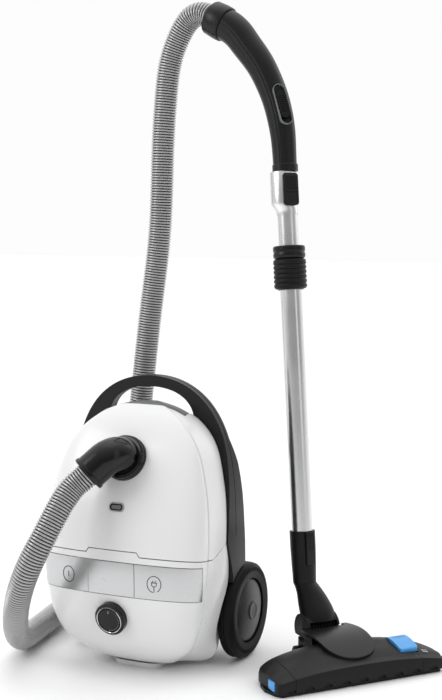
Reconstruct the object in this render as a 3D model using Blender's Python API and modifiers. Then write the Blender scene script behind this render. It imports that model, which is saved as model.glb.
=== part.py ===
"""A canister vacuum cleaner with its hose and its telescopic wand.

The canister stands parked on its tail, with its face towards -Y. The floor head stands
beside it with the wand upright, and the hose runs from the canister's face round its left
side, up behind it and over into the wand's handle. Metres, +Z up. The origin is on the
flat underside of the parking foot.
"""

import math

import bmesh
import bpy
import numpy as np
from mathutils import Matrix, Vector

# ---------------------------------------------------------------- driving dimensions
GAP = 0.0003  # clearance between two pieces that touch
WALL = 0.0025  # moulded wall of the casings

# canister casing, as sections from the bottom up: height, half width at the split,
# half width and Y of the crease beside the face, Y of the face's middle line
SECTIONS = (
    (0.0045, 0.080, 0.050, 0.004, -0.005),
    (0.0100, 0.096, 0.060, -0.008, -0.028),
    (0.0200, 0.107, 0.074, -0.018, -0.047),
    (0.0350, 0.1120, 0.0930, -0.030, -0.0640),
    (0.0550, 0.1150, 0.1075, -0.041, -0.0780),
    (0.0850, 0.1205, 0.1180, -0.048, -0.0881),
    (0.1150, 0.1250, 0.1240, -0.050, -0.0922),
    (0.1500, 0.1285, 0.1275, -0.050, -0.0930),
    (0.1850, 0.1290, 0.1290, -0.048, -0.0890),
    (0.2200, 0.1280, 0.1275, -0.044, -0.0816),
    (0.2550, 0.1250, 0.1235, -0.039, -0.0716),
    (0.2900, 0.1190, 0.1155, -0.033, -0.0580),
    (0.3200, 0.1110, 0.1050, -0.027, -0.0433),
    (0.3420, 0.0985, 0.0905, -0.0205, -0.0300),
    (0.3580, 0.0830, 0.0740, -0.013, -0.0179),
    (0.3700, 0.0640, 0.0560, -0.004, -0.0065),
    (0.3790, 0.0410, 0.0350, 0.007, 0.0052),
    (0.3845, 0.0150, 0.0120, 0.016, 0.0155),
)
TOP_Z = SECTIONS[-1][0]
BOTTOM_Z = SECTIONS[0][0]
MIDDLE_Y = 0.020  # the plane that the sections are drawn from
CREASE_STEP = 0.0012
# line between the white front and the dark base, in the (y, z) plane, from the bottom up
SPLIT_LINE = ((0.0306, 0.1334), (0.0122, 0.187), (0.0300, 0.340))
SPLIT_GAP = 0.0005

# dark base behind it
PAN_HALF_WIDTH = 0.1235
PAN_DEPTH = 0.112
PAN_WAIST_Z = 0.150
PAN_TOP_Z = 0.352

# bumper and carrying handle
ARCH_HALF_WIDTH = 0.1320
ARCH_TOP_Z = 0.4195
ARCH_LOW_Z = 0.112
ARCH_BACK = ((0.0750, 0.112), (0.0730, 0.178), (0.0664, 0.252), (0.0600, 0.296), (0.0480, 0.332))
SLOT_HALF_WIDTH = 0.070
SLOT_TOP_Z = 0.4035
SLOT_LOW_Z = 0.3570

# lid and control panel: lines across the face, which drop a little towards the sides
LID_LINE_Z = 0.1810  # at the middle of the face
LID_LINE_SLOPE = -0.12
LID_CORNER = (0.0122, 0.189)
LID_STEP_HALF = 0.0385
LID_STEP_RUN = 0.0090  # run of the slope at each end of the step
LID_STEP_DEPTH = 0.012
LID_STEP_RISE = 0.0060
LID_GAP = 0.0012
LATCH_HALF = 0.066
LATCH_FRONT_Y = 0.0080
PANEL_TOP_Z = 0.1705
PANEL_LOW_Z = 0.1235
PANEL_SLOPE = -0.11
PANEL_END_X = 0.1175
PANEL_END_Y = -0.052
PLATE_HALF = 0.0345
BUTTON_GAP = 0.0008
BUTTON_TURN = math.radians(35.6)  # between a button's travel and the Y axis
FACE_Y = -0.090

# fittings on the face
DIAL_Z = 0.0905
INLET_Z = 0.310
INDICATOR_Z = 0.245
INLET_HOLE = 0.0245

# wheels and caster
WHEEL_RADIUS = 0.0705
WHEEL_Y = 0.0820
WHEEL_Z = 0.0715
WHEEL_INNER_X = 0.1120
WELL_X = 0.1095
WELL_RADIUS = WHEEL_RADIUS + 0.003
AXLE_RADIUS = 0.005
CASTER_Z = 0.285
CASTER_Y = 0.1238
CASTER_TRAIL = 0.006

# hose
HOSE_DIAMETER = 0.037
HOSE_BORE = 0.0160
HOSE_SIDES = 14
CUFF_LENGTH = 0.028

# floor head: its own frame has X along the head, Y towards the back
HEAD_PLACE = Vector((0.3295, 0.0395, 0.0))
HEAD_TURN = math.radians(50.0)
HEAD_DEPTH = 0.086
HEAD_LOW_Z = 0.0050
HEAD_RIDGE_Z = 0.0450
HEAD_FRONT_Z = 0.0298
HEAD_SEAM = 0.100  # half length of the middle, between the two end caps
PIVOT = Vector((0.0, 0.137, 0.045))
DRUM_RADIUS = 0.0170
HOOD_SWEEP = 0.0257  # room round the pivot for the neck's hood as it leans back

# wand: its frame has Z up the tube, with its origin at the rim of the neck's socket
WAND_FOOT = Vector((-0.0095, 0.1676, 0.185))  # in the head's frame
WAND_LEAN = math.radians(6.87)
WAND_ROLL = math.radians(0.24)
SWIVEL_Z = -0.0768  # joint between the knee and the socket, in the wand's frame
SWIVEL_RADIUS = 0.0172
OUTER_TUBE = 0.0160
INNER_TUBE = 0.0149
COLLAR_LOW = 0.3584
COLLAR_TOP = 0.4239
SLEEVE_LOW = 0.4701
SLEEVE_TOP = 0.5345
SLEEVE_RADIUS = 0.0195
SLEEVE_OFFSET = 0.0043
HANDLE_TURN = math.radians(129.2)  # which way the handle bends, round the tube

PEDAL_LOW, PEDAL_HIGH = 0.0710, 0.1010
# the pedal's outline across its length: over the top from the front, then back underneath
PEDAL_SECTION = (
    (0.0080, 0.0290),
    (0.0200, 0.0352),
    (0.0400, 0.0416),
    (0.0540, 0.0436),
    (0.0605, 0.0410),
    (0.0605, 0.0360),
    (0.0540, 0.0345),
    (0.0080, 0.0245),
)
ROLLER_AT = (0.1480, 0.0087)  # the rollers' axle, behind the head

ROUND = 24  # sides of a large round piece
SMALL = 14  # sides of a small one


# ---------------------------------------------------------------- scene and objects
def clear_scene():
    for obj in list(bpy.data.objects):
        bpy.data.objects.remove(obj, do_unlink=True)


def new_collection(name):
    collection = bpy.data.collections.new(name)
    bpy.context.scene.collection.children.link(collection)
    return collection


clear_scene()
PARTS = new_collection("canister_vacuum_cleaner")
CUTTERS = new_collection("cutters")
CUTTERS.hide_render = True


def material(name, colour, roughness, metallic=0.0):
    made = bpy.data.materials.new(name)
    made.use_nodes = True
    shader = made.node_tree.nodes["Principled BSDF"]
    shader.inputs["Base Color"].default_value = (*colour, 1.0)
    shader.inputs["Roughness"].default_value = roughness
    shader.inputs["Metallic"].default_value = metallic
    made.diffuse_color = (*colour, 1.0)
    return made


WHITE = material("white_casing", (0.86, 0.86, 0.87), 0.25)
CHARCOAL = material("charcoal_plastic", (0.035, 0.036, 0.038), 0.45)
BLACK = material("black_gloss", (0.012, 0.012, 0.013), 0.18)
RUBBER = material("rubber", (0.022, 0.022, 0.023), 0.75)
SILVER = material("silver_panel", (0.55, 0.56, 0.57), 0.32, 0.6)
CHROME = material("chrome", (0.8, 0.8, 0.8), 0.08, 1.0)
ALUMINIUM = material("satin_aluminium", (0.72, 0.72, 0.73), 0.30, 1.0)
GREY = material("mid_grey", (0.16, 0.165, 0.17), 0.4)
BLUE = material("light_blue", (0.10, 0.42, 0.80), 0.35)
HOSE = material("hose_grey", (0.36, 0.36, 0.36), 0.4)
PAPER = material("filter_fleece", (0.75, 0.74, 0.70), 0.9)
BOARD = material("circuit_board", (0.05, 0.25, 0.10), 0.5)


def frame(name, matrix, parent=None):
    """An empty that marks a joint's axis or an assembly's own frame."""
    empty = bpy.data.objects.new(name, None)
    empty.empty_display_size = 0.02
    PARTS.objects.link(empty)
    empty.parent = parent
    empty.matrix_local = matrix
    return empty


def add(name, mesh, mat=None, parent=None, matrix=None):
    """An object with this mesh. One without a material is a cutter."""
    obj = bpy.data.objects.new(name, mesh)
    obj.parent = parent
    if matrix is not None:
        obj.matrix_local = matrix
    if mat is None:
        CUTTERS.objects.link(obj)
        obj.hide_render = True
        obj.display_type = "WIRE"
    else:
        PARTS.objects.link(obj)
        mesh.materials.clear()
        mesh.materials.append(mat)
        mesh.shade_smooth()
        mesh.set_sharp_from_angle(angle=math.radians(35))
    return obj


def boolean(obj, other, operation="DIFFERENCE"):
    modifier = obj.modifiers.new(operation.lower(), "BOOLEAN")
    modifier.operation = operation
    modifier.object = other
    modifier.solver = "EXACT"
    return obj


def mesh_of(bm, name="shape"):
    bmesh.ops.recalc_face_normals(bm, faces=bm.faces)
    mesh = bpy.data.meshes.new(name)
    bm.to_mesh(mesh)
    bm.free()
    return mesh


# ---------------------------------------------------------------- shapes
def box(low, high):
    bm = bmesh.new()
    bmesh.ops.create_cube(bm, size=1.0)
    low, high = Vector(low), Vector(high)
    for vert in bm.verts:
        vert.co = Vector(
            (low[k] + (vert.co[k] + 0.5) * (high[k] - low[k]) for k in range(3))
        )
    return mesh_of(bm)


def bevelled_box(low, high, width, segments=2):
    bm = bmesh.new()
    bm.from_mesh(box(low, high))
    bmesh.ops.bevel(
        bm, geom=bm.edges[:], offset=width, segments=segments, affect="EDGES", profile=0.5
    )
    return mesh_of(bm)


def axis_matrix(start, direction):
    """A frame at start whose Z runs along direction."""
    turn = Vector(direction).to_track_quat("Z", "Y").to_matrix().to_4x4()
    return Matrix.Translation(Vector(start)) @ turn


def cylinder(start, end, radius, sides=ROUND, end_radius=None):
    start, end = Vector(start), Vector(end)
    length = (end - start).length
    bm = bmesh.new()
    bmesh.ops.create_cone(
        bm,
        cap_ends=True,
        segments=sides,
        radius1=radius,
        radius2=radius if end_radius is None else end_radius,
        depth=length,
        matrix=axis_matrix((start + end) / 2, end - start),
    )
    return mesh_of(bm)


def prism(outline, axis, low, high):
    """A flat outline pushed along X, Y or Z. Its points are in the other two axes, in order."""
    others = [k for k in range(3) if k != axis]
    bm = bmesh.new()
    ends = []
    for level in (low, high):
        verts = []
        for point in outline:
            co = [0.0, 0.0, 0.0]
            co[axis] = level
            co[others[0]], co[others[1]] = point
            verts.append(bm.verts.new(co))
        ends.append(verts)
    bm.faces.new(ends[0])
    bm.faces.new(ends[1])
    for k in range(len(outline)):
        following = (k + 1) % len(outline)
        quad = (ends[0][k], ends[0][following], ends[1][following], ends[1][k])
        bm.faces.new(quad)
    return mesh_of(bm)


def loft(rings):
    """A closed skin through rings of equally many points, capped at both ends."""
    bm = bmesh.new()
    rows = [[bm.verts.new(point) for point in ring] for ring in rings]
    for row, above in zip(rows, rows[1:]):
        for k in range(len(row)):
            following = (k + 1) % len(row)
            bm.faces.new((row[k], row[following], above[following], above[k]))
    bm.faces.new(rows[0])
    bm.faces.new(rows[-1])
    bmesh.ops.triangulate(bm, faces=bm.faces)
    return mesh_of(bm)


def turned(name, profile, mat, parent=None, matrix=None, sides=ROUND, closed=False):
    """A profile of (radius, height) points, top to bottom on its outer side, turned about Z."""
    mesh = bpy.data.meshes.new(name)
    points = [(radius, 0.0, height) for radius, height in profile]
    edges = [(k, k + 1) for k in range(len(points) - 1)]
    if closed:
        edges.append((len(points) - 1, 0))
    mesh.from_pydata(points, edges, [])
    obj = add(name, mesh, mat, parent, matrix)
    screw = obj.modifiers.new("turn", "SCREW")
    screw.axis = "Z"
    screw.steps = screw.render_steps = sides
    screw.use_merge_vertices = True
    screw.merge_threshold = 0.00001
    screw.use_smooth_shade = True
    return obj


def swept(points, radii, bevel_resolution=4):
    """The mesh of a round bar of changing radius along a line of points."""
    curve = bpy.data.curves.new("path", "CURVE")
    curve.dimensions = "3D"
    curve.bevel_depth = 1.0
    curve.bevel_resolution = bevel_resolution
    curve.use_fill_caps = True
    spline = curve.splines.new("POLY")
    spline.points.add(len(points) - 1)
    for point, place, radius in zip(spline.points, points, radii):
        point.co = (*place, 1.0)
        point.radius = radius
    guide = bpy.data.objects.new("path", curve)
    PARTS.objects.link(guide)
    graph = bpy.context.evaluated_depsgraph_get()
    mesh = bpy.data.meshes.new_from_object(guide.evaluated_get(graph))
    bpy.data.objects.remove(guide, do_unlink=True)
    bm = bmesh.new()
    bm.from_mesh(mesh)
    bmesh.ops.remove_doubles(bm, verts=bm.verts, dist=0.00001)
    return mesh_of(bm)


def smooth_line(points, count):
    """Evenly spaced points on one smooth curve through the given points."""
    knots = np.array(points, dtype=float)
    chord = np.linalg.norm(np.diff(knots, axis=0), axis=1)
    at = np.concatenate([[0.0], np.cumsum(np.sqrt(chord))])
    # a natural cubic spline, solved for its second derivatives
    size = len(knots)
    step = np.diff(at)
    system = np.eye(size)
    right = np.zeros_like(knots)
    for k in range(1, size - 1):
        system[k, k - 1 : k + 2] = step[k - 1], 2 * (step[k - 1] + step[k]), step[k]
        rise = (knots[k + 1] - knots[k]) / step[k]
        right[k] = 6 * (rise - (knots[k] - knots[k - 1]) / step[k - 1])
    bend = np.linalg.solve(system, right)

    def place(t):
        k = int(np.clip(np.searchsorted(at, t) - 1, 0, size - 2))
        a, b, h = at[k + 1] - t, t - at[k], step[k]
        curved = (a**3 / h - h * a) * bend[k] + (b**3 / h - h * b) * bend[k + 1]
        return (a * knots[k] + b * knots[k + 1]) / h + curved / 6

    fine = np.array([place(t) for t in np.linspace(0, at[-1], 40 * size)])
    run = np.concatenate(
        [[0.0], np.cumsum(np.linalg.norm(np.diff(fine, axis=0), axis=1))]
    )
    even = np.linspace(0, run[-1], count)
    return np.array([[np.interp(s, run, fine[:, k]) for k in range(3)] for s in even])


def rounded_outline(low, high, radius, corner_points=4):
    """A rectangle with round corners, anticlockwise, as (a, b) points."""
    outline = []
    centres = (
        (high[0] - radius, high[1] - radius, 0),
        (low[0] + radius, high[1] - radius, 90),
        (low[0] + radius, low[1] + radius, 180),
        (high[0] - radius, low[1] + radius, 270),
    )
    for a, b, start in centres:
        for k in range(corner_points + 1):
            angle = math.radians(start + 90 * k / corner_points)
            outline.append((a + radius * math.cos(angle), b + radius * math.sin(angle)))
    return outline


# ---------------------------------------------------------------- the canister's form
def face_y(z):
    return float(np.interp(z, [row[0] for row in SECTIONS], [row[4] for row in SECTIONS]))


def quarter(start, end, steps, power):
    """Points of a rounded corner from start to end: it leaves along X and arrives along Y."""
    points = []
    for k in range(steps + 1):
        angle = math.pi / 2 * k / steps
        x = start[0] + (end[0] - start[0]) * math.sin(angle) ** (2 / power)
        y = end[1] + (start[1] - end[1]) * math.cos(angle) ** (2 / power)
        points.append((x, y))
    return points


def skin(inset=0.0, steps=6):
    """The canister's closed outer form, drawn in all round by inset."""
    middle = (TOP_Z + BOTTOM_Z) / 2
    shrink = 1 - inset / ((TOP_Z - BOTTOM_Z) / 2)
    rings = []
    for z, split_x, crease_x, crease_y, front_y in SECTIONS:
        step = CREASE_STEP * min(crease_x, 0.09) / 0.09
        start, crease = (0.0, front_y + inset), (crease_x - inset, crease_y + inset * 0.6)
        edge = split_x - inset
        half = quarter(start, crease, steps, 2.5)
        half.append((crease[0] - step, crease[1] + 0.0020))
        half.append((edge, max(MIDDLE_Y, crease[1] + 0.006)))
        half.append((edge * 0.8, MIDDLE_Y + 0.8 * split_x))
        back = (0.0, MIDDLE_Y + 0.9 * split_x)
        ring = half + [back] + [(-x, y) for x, y in reversed(half[1:])]
        rings.append([(x, y, middle + (z - middle) * shrink) for x, y in ring])
    return loft(rings)


def pan_width(z):
    if z >= PAN_WAIST_Z:
        t = (z - PAN_WAIST_Z) / (PAN_TOP_Z - PAN_WAIST_Z)
        return PAN_HALF_WIDTH * max(1 - t**3.4, 0.0) ** (1 / 2.3)
    t = (PAN_WAIST_Z - z) / (PAN_WAIST_Z - BOTTOM_Z)
    return PAN_HALF_WIDTH * max(1 - t**3.4, 0.0) ** (1 / 3.4)


def pan_skin(inset=0.0, levels=13, sides=28):
    """The dark base's closed form, drawn in all round by inset."""
    middle = (PAN_TOP_Z + BOTTOM_Z) / 2
    half_height = (PAN_TOP_Z - BOTTOM_Z) / 2
    rings = []
    for level in range(levels):
        z = middle - math.cos(math.pi * (0.04 + 0.92 * level / (levels - 1))) * half_height
        width = pan_width(z) * (1 - inset / PAN_HALF_WIDTH)
        depth = pan_width(z) * (PAN_DEPTH - inset) / PAN_HALF_WIDTH
        ring = []
        for side in range(sides):
            angle = 2 * math.pi * (side + 0.5) / sides
            cos, sin = math.cos(angle), math.sin(angle)
            x = width * math.copysign(abs(cos) ** (2 / 3.2), cos)
            y = MIDDLE_Y + depth * math.copysign(abs(sin) ** (2 / 3.2), sin)
            ring.append((x, y, middle + (z - middle) * (1 - inset / half_height)))
        rings.append(ring)
    return loft(rings)


def on_face(z):
    """The point of the face's middle line at height z, and the outward direction there."""
    step = 0.012
    here = Vector((0, face_y(z), z))
    along = Vector((0, face_y(z + step) - face_y(z - step), 2 * step)).normalized()
    return here, Vector((0, -along.z, along.y))


def split_outline(shift, front):
    """What lies before or behind the split line, as (y, z) points."""
    line = [(y + shift, z) for y, z in SPLIT_LINE]
    line = [(line[0][0], -0.05)] + line + [(line[-1][0], 0.50)]
    far = -0.2 if front else 0.3
    return line + [(far, 0.50), (far, -0.05)]


def across(z_middle, slope, y):
    """Height at y of a line across the face that passes z_middle at its front."""
    return z_middle + slope * (y - FACE_Y)


def lid_line(drop=0.0):
    """Lower edge of the lid in the (y, z) plane, as points from the front to the back."""
    turn_y = -0.032
    return [
        (-0.2, across(LID_LINE_Z, LID_LINE_SLOPE, -0.2) - drop),
        (turn_y, across(LID_LINE_Z, LID_LINE_SLOPE, turn_y) - drop),
        (LID_CORNER[0], LID_CORNER[1] - drop),
        (0.1, LID_CORNER[1] - drop),
    ]


def lid_step(gap=0.0):
    """The tongue with sloping ends that the lid's lower edge steps over, as (x, z) points."""
    top = LID_LINE_Z + LID_STEP_RISE - gap
    half = LID_STEP_HALF - gap / 2
    wide = LID_STEP_HALF + LID_STEP_RUN - gap
    low = top - LID_STEP_DEPTH
    return [(-wide, low), (wide, low), (half, top), (-half, top)]


def well_cutters(radius, from_x, prefix):
    cutters = []
    for side in (-1, 1):
        mesh = cylinder(
            (side * from_x, WHEEL_Y, WHEEL_Z), (side * 0.2, WHEEL_Y, WHEEL_Z), radius
        )
        cutters.append(add(f"{prefix}_{side}", mesh))
    return cutters


def hollow(name, mesh):
    """A casing's inside, kept clear of the wheel wells so that these get a wall."""
    cutter = add(name, mesh)
    for well in well_cutters(WELL_RADIUS + WALL, WELL_X - WALL, name + "_well"):
        boolean(cutter, well)
    return cutter


# ---------------------------------------------------------------- canister casings
def latch_region(name, margin):
    low = (-LATCH_HALF - margin, LATCH_FRONT_Y - margin, 0.34)
    return add(name, box(low, (LATCH_HALF + margin, 0.1, 0.42)))


def make_casings():
    wells = well_cutters(WELL_RADIUS, WELL_X, "wheel_well")
    inside = hollow("casing_inside", skin(WALL))
    front = add("front_region", prism(split_outline(-SPLIT_GAP, True), 0, -0.2, 0.2))
    behind = add("back_region", prism(split_outline(GAP, False), 0, -0.2, 0.2))

    lid_region = add("lid_region", prism(lid_line() + [(0.1, 0.45), (-0.2, 0.45)], 0, -0.2, 0.2))
    boolean(lid_region, add("lid_step", prism(lid_step(), 1, -0.2, -0.04)))
    low_outline = lid_line(LID_GAP) + [(0.1, -0.05), (-0.2, -0.05)]
    low_region = add("low_region", prism(low_outline, 0, -0.2, 0.2))
    tongue = prism(lid_step(LID_GAP), 1, -0.2, -0.04)
    boolean(low_region, add("low_tongue", tongue), "UNION")

    lid = add("lid", skin(), WHITE, LID_AXIS, LID_AXIS.matrix_local.inverted())
    boolean(lid, inside)
    boolean(lid, front, "INTERSECT")
    boolean(lid, lid_region, "INTERSECT")
    at, out = on_face(INLET_Z)
    hole = cylinder(at - out * 0.03, at + out * 0.03, INLET_HOLE)
    boolean(lid, add("inlet_hole", hole))
    boolean(lid, add("indicator_hole", indicator_mesh(GAP, 0.01)))
    boolean(lid, latch_region("latch_pocket", 0.0005))
    latch = add("lid_latch", skin(0.0012), GREY, LATCH_AXIS, LATCH_AXIS.matrix_local.inverted())
    boolean(latch, add("latch_under", skin(0.0045)))
    boolean(latch, front, "INTERSECT")
    boolean(latch, latch_region("latch_shape", 0.0), "INTERSECT")

    body = add("body_front", skin(), WHITE)
    boolean(body, inside)
    boolean(body, front, "INTERSECT")
    boolean(body, low_region, "INTERSECT")
    for well in wells:
        boolean(body, well)
    boolean(body, panel_region("panel_window", -PANEL_END_X, PANEL_END_X, -BUTTON_GAP))
    at, out = on_face(DIAL_Z)
    hole = cylinder(at - out * 0.02, at + out * 0.02, 0.0070, SMALL)
    boolean(body, add("dial_hole", hole))

    pan = add("base_pan", pan_skin(), CHARCOAL)
    boolean(pan, hollow("pan_inside", pan_skin(WALL)))
    boolean(pan, behind, "INTERSECT")
    for well in wells:
        boolean(pan, well)
    for side in (-1, 1):
        boss = cylinder(
            (side * 0.094, WHEEL_Y, WHEEL_Z), (side * 0.1105, WHEEL_Y, WHEEL_Z), 0.011, SMALL
        )
        boolean(pan, add(f"axle_boss_{side}", boss), "UNION")
        stub = cylinder(
            (side * 0.100, WHEEL_Y, WHEEL_Z), (side * 0.1330, WHEEL_Y, WHEEL_Z), AXLE_RADIUS, SMALL
        )
        boolean(pan, add(f"axle_{side}", stub), "UNION")
    seat = cylinder((0, 0.100, CASTER_Z), (0, CASTER_Y - GAP, CASTER_Z), 0.018, SMALL)
    boolean(pan, add("caster_seat", seat), "UNION")
    window = box((-0.0353, 0.12, 0.1247), (0.0353, 0.14, 0.1753))
    boolean(pan, add("grille_window", window))
    hole = cylinder((0, 0.09, 0.060), (0, 0.14, 0.060), 0.0095, SMALL)
    boolean(pan, add("outlet_hole", hole))


def arch(half_width, low_z, waist_z, top_z, powers, count):
    """An arch's outline as (x, z) points, from its right foot over to its left foot."""
    right = [(half_width, low_z)] if low_z < waist_z else []
    for k in range(count):
        z = waist_z + (top_z - waist_z) * math.sin(math.pi / 2 * k / count)
        t = (z - waist_z) / (top_z - waist_z)
        right.append((half_width * (1 - t ** powers[0]) ** (1 / powers[1]), z))
    return right + [(0.0, top_z)] + [(-x, z) for x, z in reversed(right)]


def make_bumper():
    """The dark arch over the canister: bumper at the sides, carrying handle at the top."""
    outline = arch(ARCH_HALF_WIDTH, ARCH_LOW_Z, 0.150, ARCH_TOP_Z, (3.9, 2.1), 16)
    bumper = add("bumper_frame", prism(outline, 1, -0.05, 0.1), CHARCOAL)
    boolean(bumper, add("frame_front", prism(split_outline(0.0008, False), 0, -0.2, 0.2)), "INTERSECT")
    top_y = ARCH_BACK[-1][0]
    back = [(-0.1, 0.05), (ARCH_BACK[0][0], 0.05)] + list(ARCH_BACK) + [(top_y, 0.5), (-0.1, 0.5)]
    boolean(bumper, add("frame_back", prism(back, 0, -0.2, 0.2)), "INTERSECT")
    boolean(bumper, add("frame_inside", pan_skin(-GAP)))
    slot = arch(SLOT_HALF_WIDTH, SLOT_LOW_Z, 0.350, SLOT_TOP_Z, (2.5, 2.2), 8)
    slot = [(x, z) for x, z in slot if z > SLOT_LOW_Z]
    slot = [(SLOT_HALF_WIDTH, SLOT_LOW_Z)] + slot + [(-SLOT_HALF_WIDTH, SLOT_LOW_Z)]
    boolean(bumper, add("finger_slot", prism(slot, 1, -0.1, 0.2)))
    for well in well_cutters(WELL_RADIUS, WELL_X, "bumper_well"):
        boolean(bumper, well)


def make_foot():
    outline = rounded_outline((-0.038, -0.026), (0.038, 0.058), 0.016, 4)
    foot = add("parking_foot", prism(outline, 2, 0.0, 0.016), GREY)
    boolean(foot, add("foot_seat", skin(-GAP)))
    boolean(foot, add("foot_seat_back", pan_skin(-GAP)))


# ---------------------------------------------------------------- panel and dial
def panel_region(name, low_x, high_x, margin):
    """What lies between two lines across the face and two planes along the buttons' travel."""
    lean = math.tan(BUTTON_TURN)
    top = PANEL_TOP_Z - margin
    low = PANEL_LOW_Z + margin
    outer_y, inner_y = -0.2, -0.02 if max(-low_x, high_x) > 0.1 else -0.05
    rows = []
    for z_middle in (low, top):
        ring = []
        for x, y in ((low_x, outer_y), (high_x, outer_y), (high_x, inner_y), (low_x, inner_y)):
            sign = math.copysign(1.0, x)
            y_edge = FACE_Y if abs(x) < 0.1 else PANEL_END_Y
            shifted = x + sign * (-margin - lean * (y - y_edge))
            ring.append((shifted, y, across(z_middle, PANEL_SLOPE, y)))
        rows.append(ring)
    return add(name, loft(rows))


def panel_piece(name, low_x, high_x, mat, parent=None):
    inverse = parent.matrix_local.inverted() if parent else None
    piece = add(name, skin(-0.0004), mat, parent, inverse)
    boolean(piece, add(name + "_back", skin(0.0034)))
    boolean(piece, panel_region(name + "_region", low_x, high_x, 0.0), "INTERSECT")
    return piece


def make_panel():
    panel_piece("panel_plate", -PLATE_HALF, PLATE_HALF, SILVER)
    start = PLATE_HALF + BUTTON_GAP
    panel_piece("power_button", -PANEL_END_X, -start, SILVER, POWER_AXIS)
    panel_piece("rewind_button", start, PANEL_END_X, SILVER, REWIND_AXIS)
    at, out = on_face(DIAL_Z)
    ring = [
        (0.0235, 0.0035),
        (0.0235, -0.008),
        (0.0182, -0.008),
        (0.0182, 0.0035),
        (0.0195, 0.0050),
        (0.0220, 0.0050),
    ]
    dial_ring = turned("dial_ring", ring, CHROME, None, axis_matrix(at, out), closed=True)
    boolean(dial_ring, add("dial_ring_seat", skin(-GAP)))
    knob = [
        (0.0, 0.0125),
        (0.0150, 0.0125),
        (0.0172, 0.0110),
        (0.0178, 0.0015),
        (0.0060, 0.0010),
        (0.0060, -0.0100),
        (0.0, -0.0100),
    ]
    turned("dial_knob", knob, BLACK, DIAL_AXIS)


# ---------------------------------------------------------------- lid fittings
def indicator_mesh(margin, reach):
    at, out = on_face(INDICATOR_Z)
    outline = rounded_outline(
        (-0.0118 - margin, -0.0060 - margin), (0.0118 + margin, 0.0060 + margin), 0.0055
    )
    mesh = prism(outline, 2, -0.0035 - reach, 0.0006 + reach)
    mesh.transform(axis_matrix(at, out))
    return mesh


def make_lid_fittings():
    lid_inverse = LID_AXIS.matrix_local.inverted()
    add("bag_indicator", indicator_mesh(0.0, 0.0), BLACK, LID_AXIS, lid_inverse)
    at, out = on_face(INLET_Z)
    ring = [
        (0.0328, 0.0040),
        (0.0328, -0.012),
        (0.0250, -0.012),
        (0.0250, 0.0060),
        (0.0310, 0.0060),
    ]
    inlet = lid_inverse @ axis_matrix(at, out)
    inlet_ring = turned("inlet_ring", ring, GREY, LID_AXIS, inlet, closed=True)
    boolean(inlet_ring, add("inlet_seat", skin(-GAP)))


def ball(centre, radius, sides=ROUND):
    bm = bmesh.new()
    bmesh.ops.create_uvsphere(bm, u_segments=sides, v_segments=sides // 2, radius=radius)
    bm.transform(Matrix.Translation(Vector(centre)))
    return mesh_of(bm)


def make_elbow():
    """The hose's swivelling elbow: a plug in the inlet, a round knuckle and a cuff."""
    corner = Vector((0, 0, ELBOW_RISE))
    mouth = corner + ELBOW_EXIT * ELBOW_REACH
    pieces = (
        ("flange", cylinder((0, 0, 0.0064), (0, 0, 0.0140), 0.0305)),
        ("riser", cylinder((0, 0, 0.0100), corner, 0.0240)),
        ("knuckle", ball(corner, 0.0240)),
        ("barrel", cylinder(corner, mouth - ELBOW_EXIT * 0.004, 0.0238)),
        ("cuff", cylinder(mouth - ELBOW_EXIT * 0.013, mouth, 0.0250)),
    )
    elbow = add("hose_elbow", cylinder((0, 0, -0.006), (0, 0, 0.0140), 0.0240), BLACK, ELBOW_AXIS)
    for label, mesh in pieces:
        boolean(elbow, add("elbow_" + label, mesh, None, ELBOW_AXIS), "UNION")
    bores = (
        cylinder((0, 0, -0.02), corner, HOSE_BORE, SMALL),
        ball(corner, HOSE_BORE, SMALL),
        cylinder(corner, mouth + ELBOW_EXIT * 0.01, HOSE_BORE, SMALL),
    )
    for k, mesh in enumerate(bores):
        boolean(elbow, add(f"elbow_bore_{k}", mesh, None, ELBOW_AXIS))
    pocket = box((0.0252, -0.0068, 0.0050), (0.045, 0.0068, 0.0200))
    boolean(elbow, add("elbow_pocket", pocket, None, ELBOW_AXIS))
    catch = bevelled_box((0.0268, -0.0060, 0.0066), (0.0335, 0.0060, 0.0136), 0.0012, 1)
    add("elbow_catch", catch, GREY, ELBOW_AXIS)


# ---------------------------------------------------------------- wheels and caster
def make_wheels():
    tyre = [
        (0.0475, 0.0245),
        (0.0620, 0.0255),
        (0.0690, 0.0220),
        (0.0705, 0.0165),
        (0.0705, 0.0075),
        (0.0685, 0.0030),
        (0.0600, 0.0000),
        (0.0475, 0.0005),
    ]
    hub = [
        (0.0, 0.0240),
        (0.0100, 0.0240),
        (0.0125, 0.0215),
        (0.0420, 0.0205),
        (0.0472, 0.0185),
        (0.0472, 0.0040),
        (0.0056, 0.0020),
        (0.0056, 0.0220),
        (0.0, 0.0220),
    ]
    for label, axis in (("left", WHEEL_LEFT_AXIS), ("right", WHEEL_RIGHT_AXIS)):
        tyre_name, hub_name = f"tyre_{label}", f"wheel_hub_{label}"
        turned(tyre_name, tyre, RUBBER, axis, closed=True)
        turned(hub_name, hub, GREY, axis)


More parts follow.
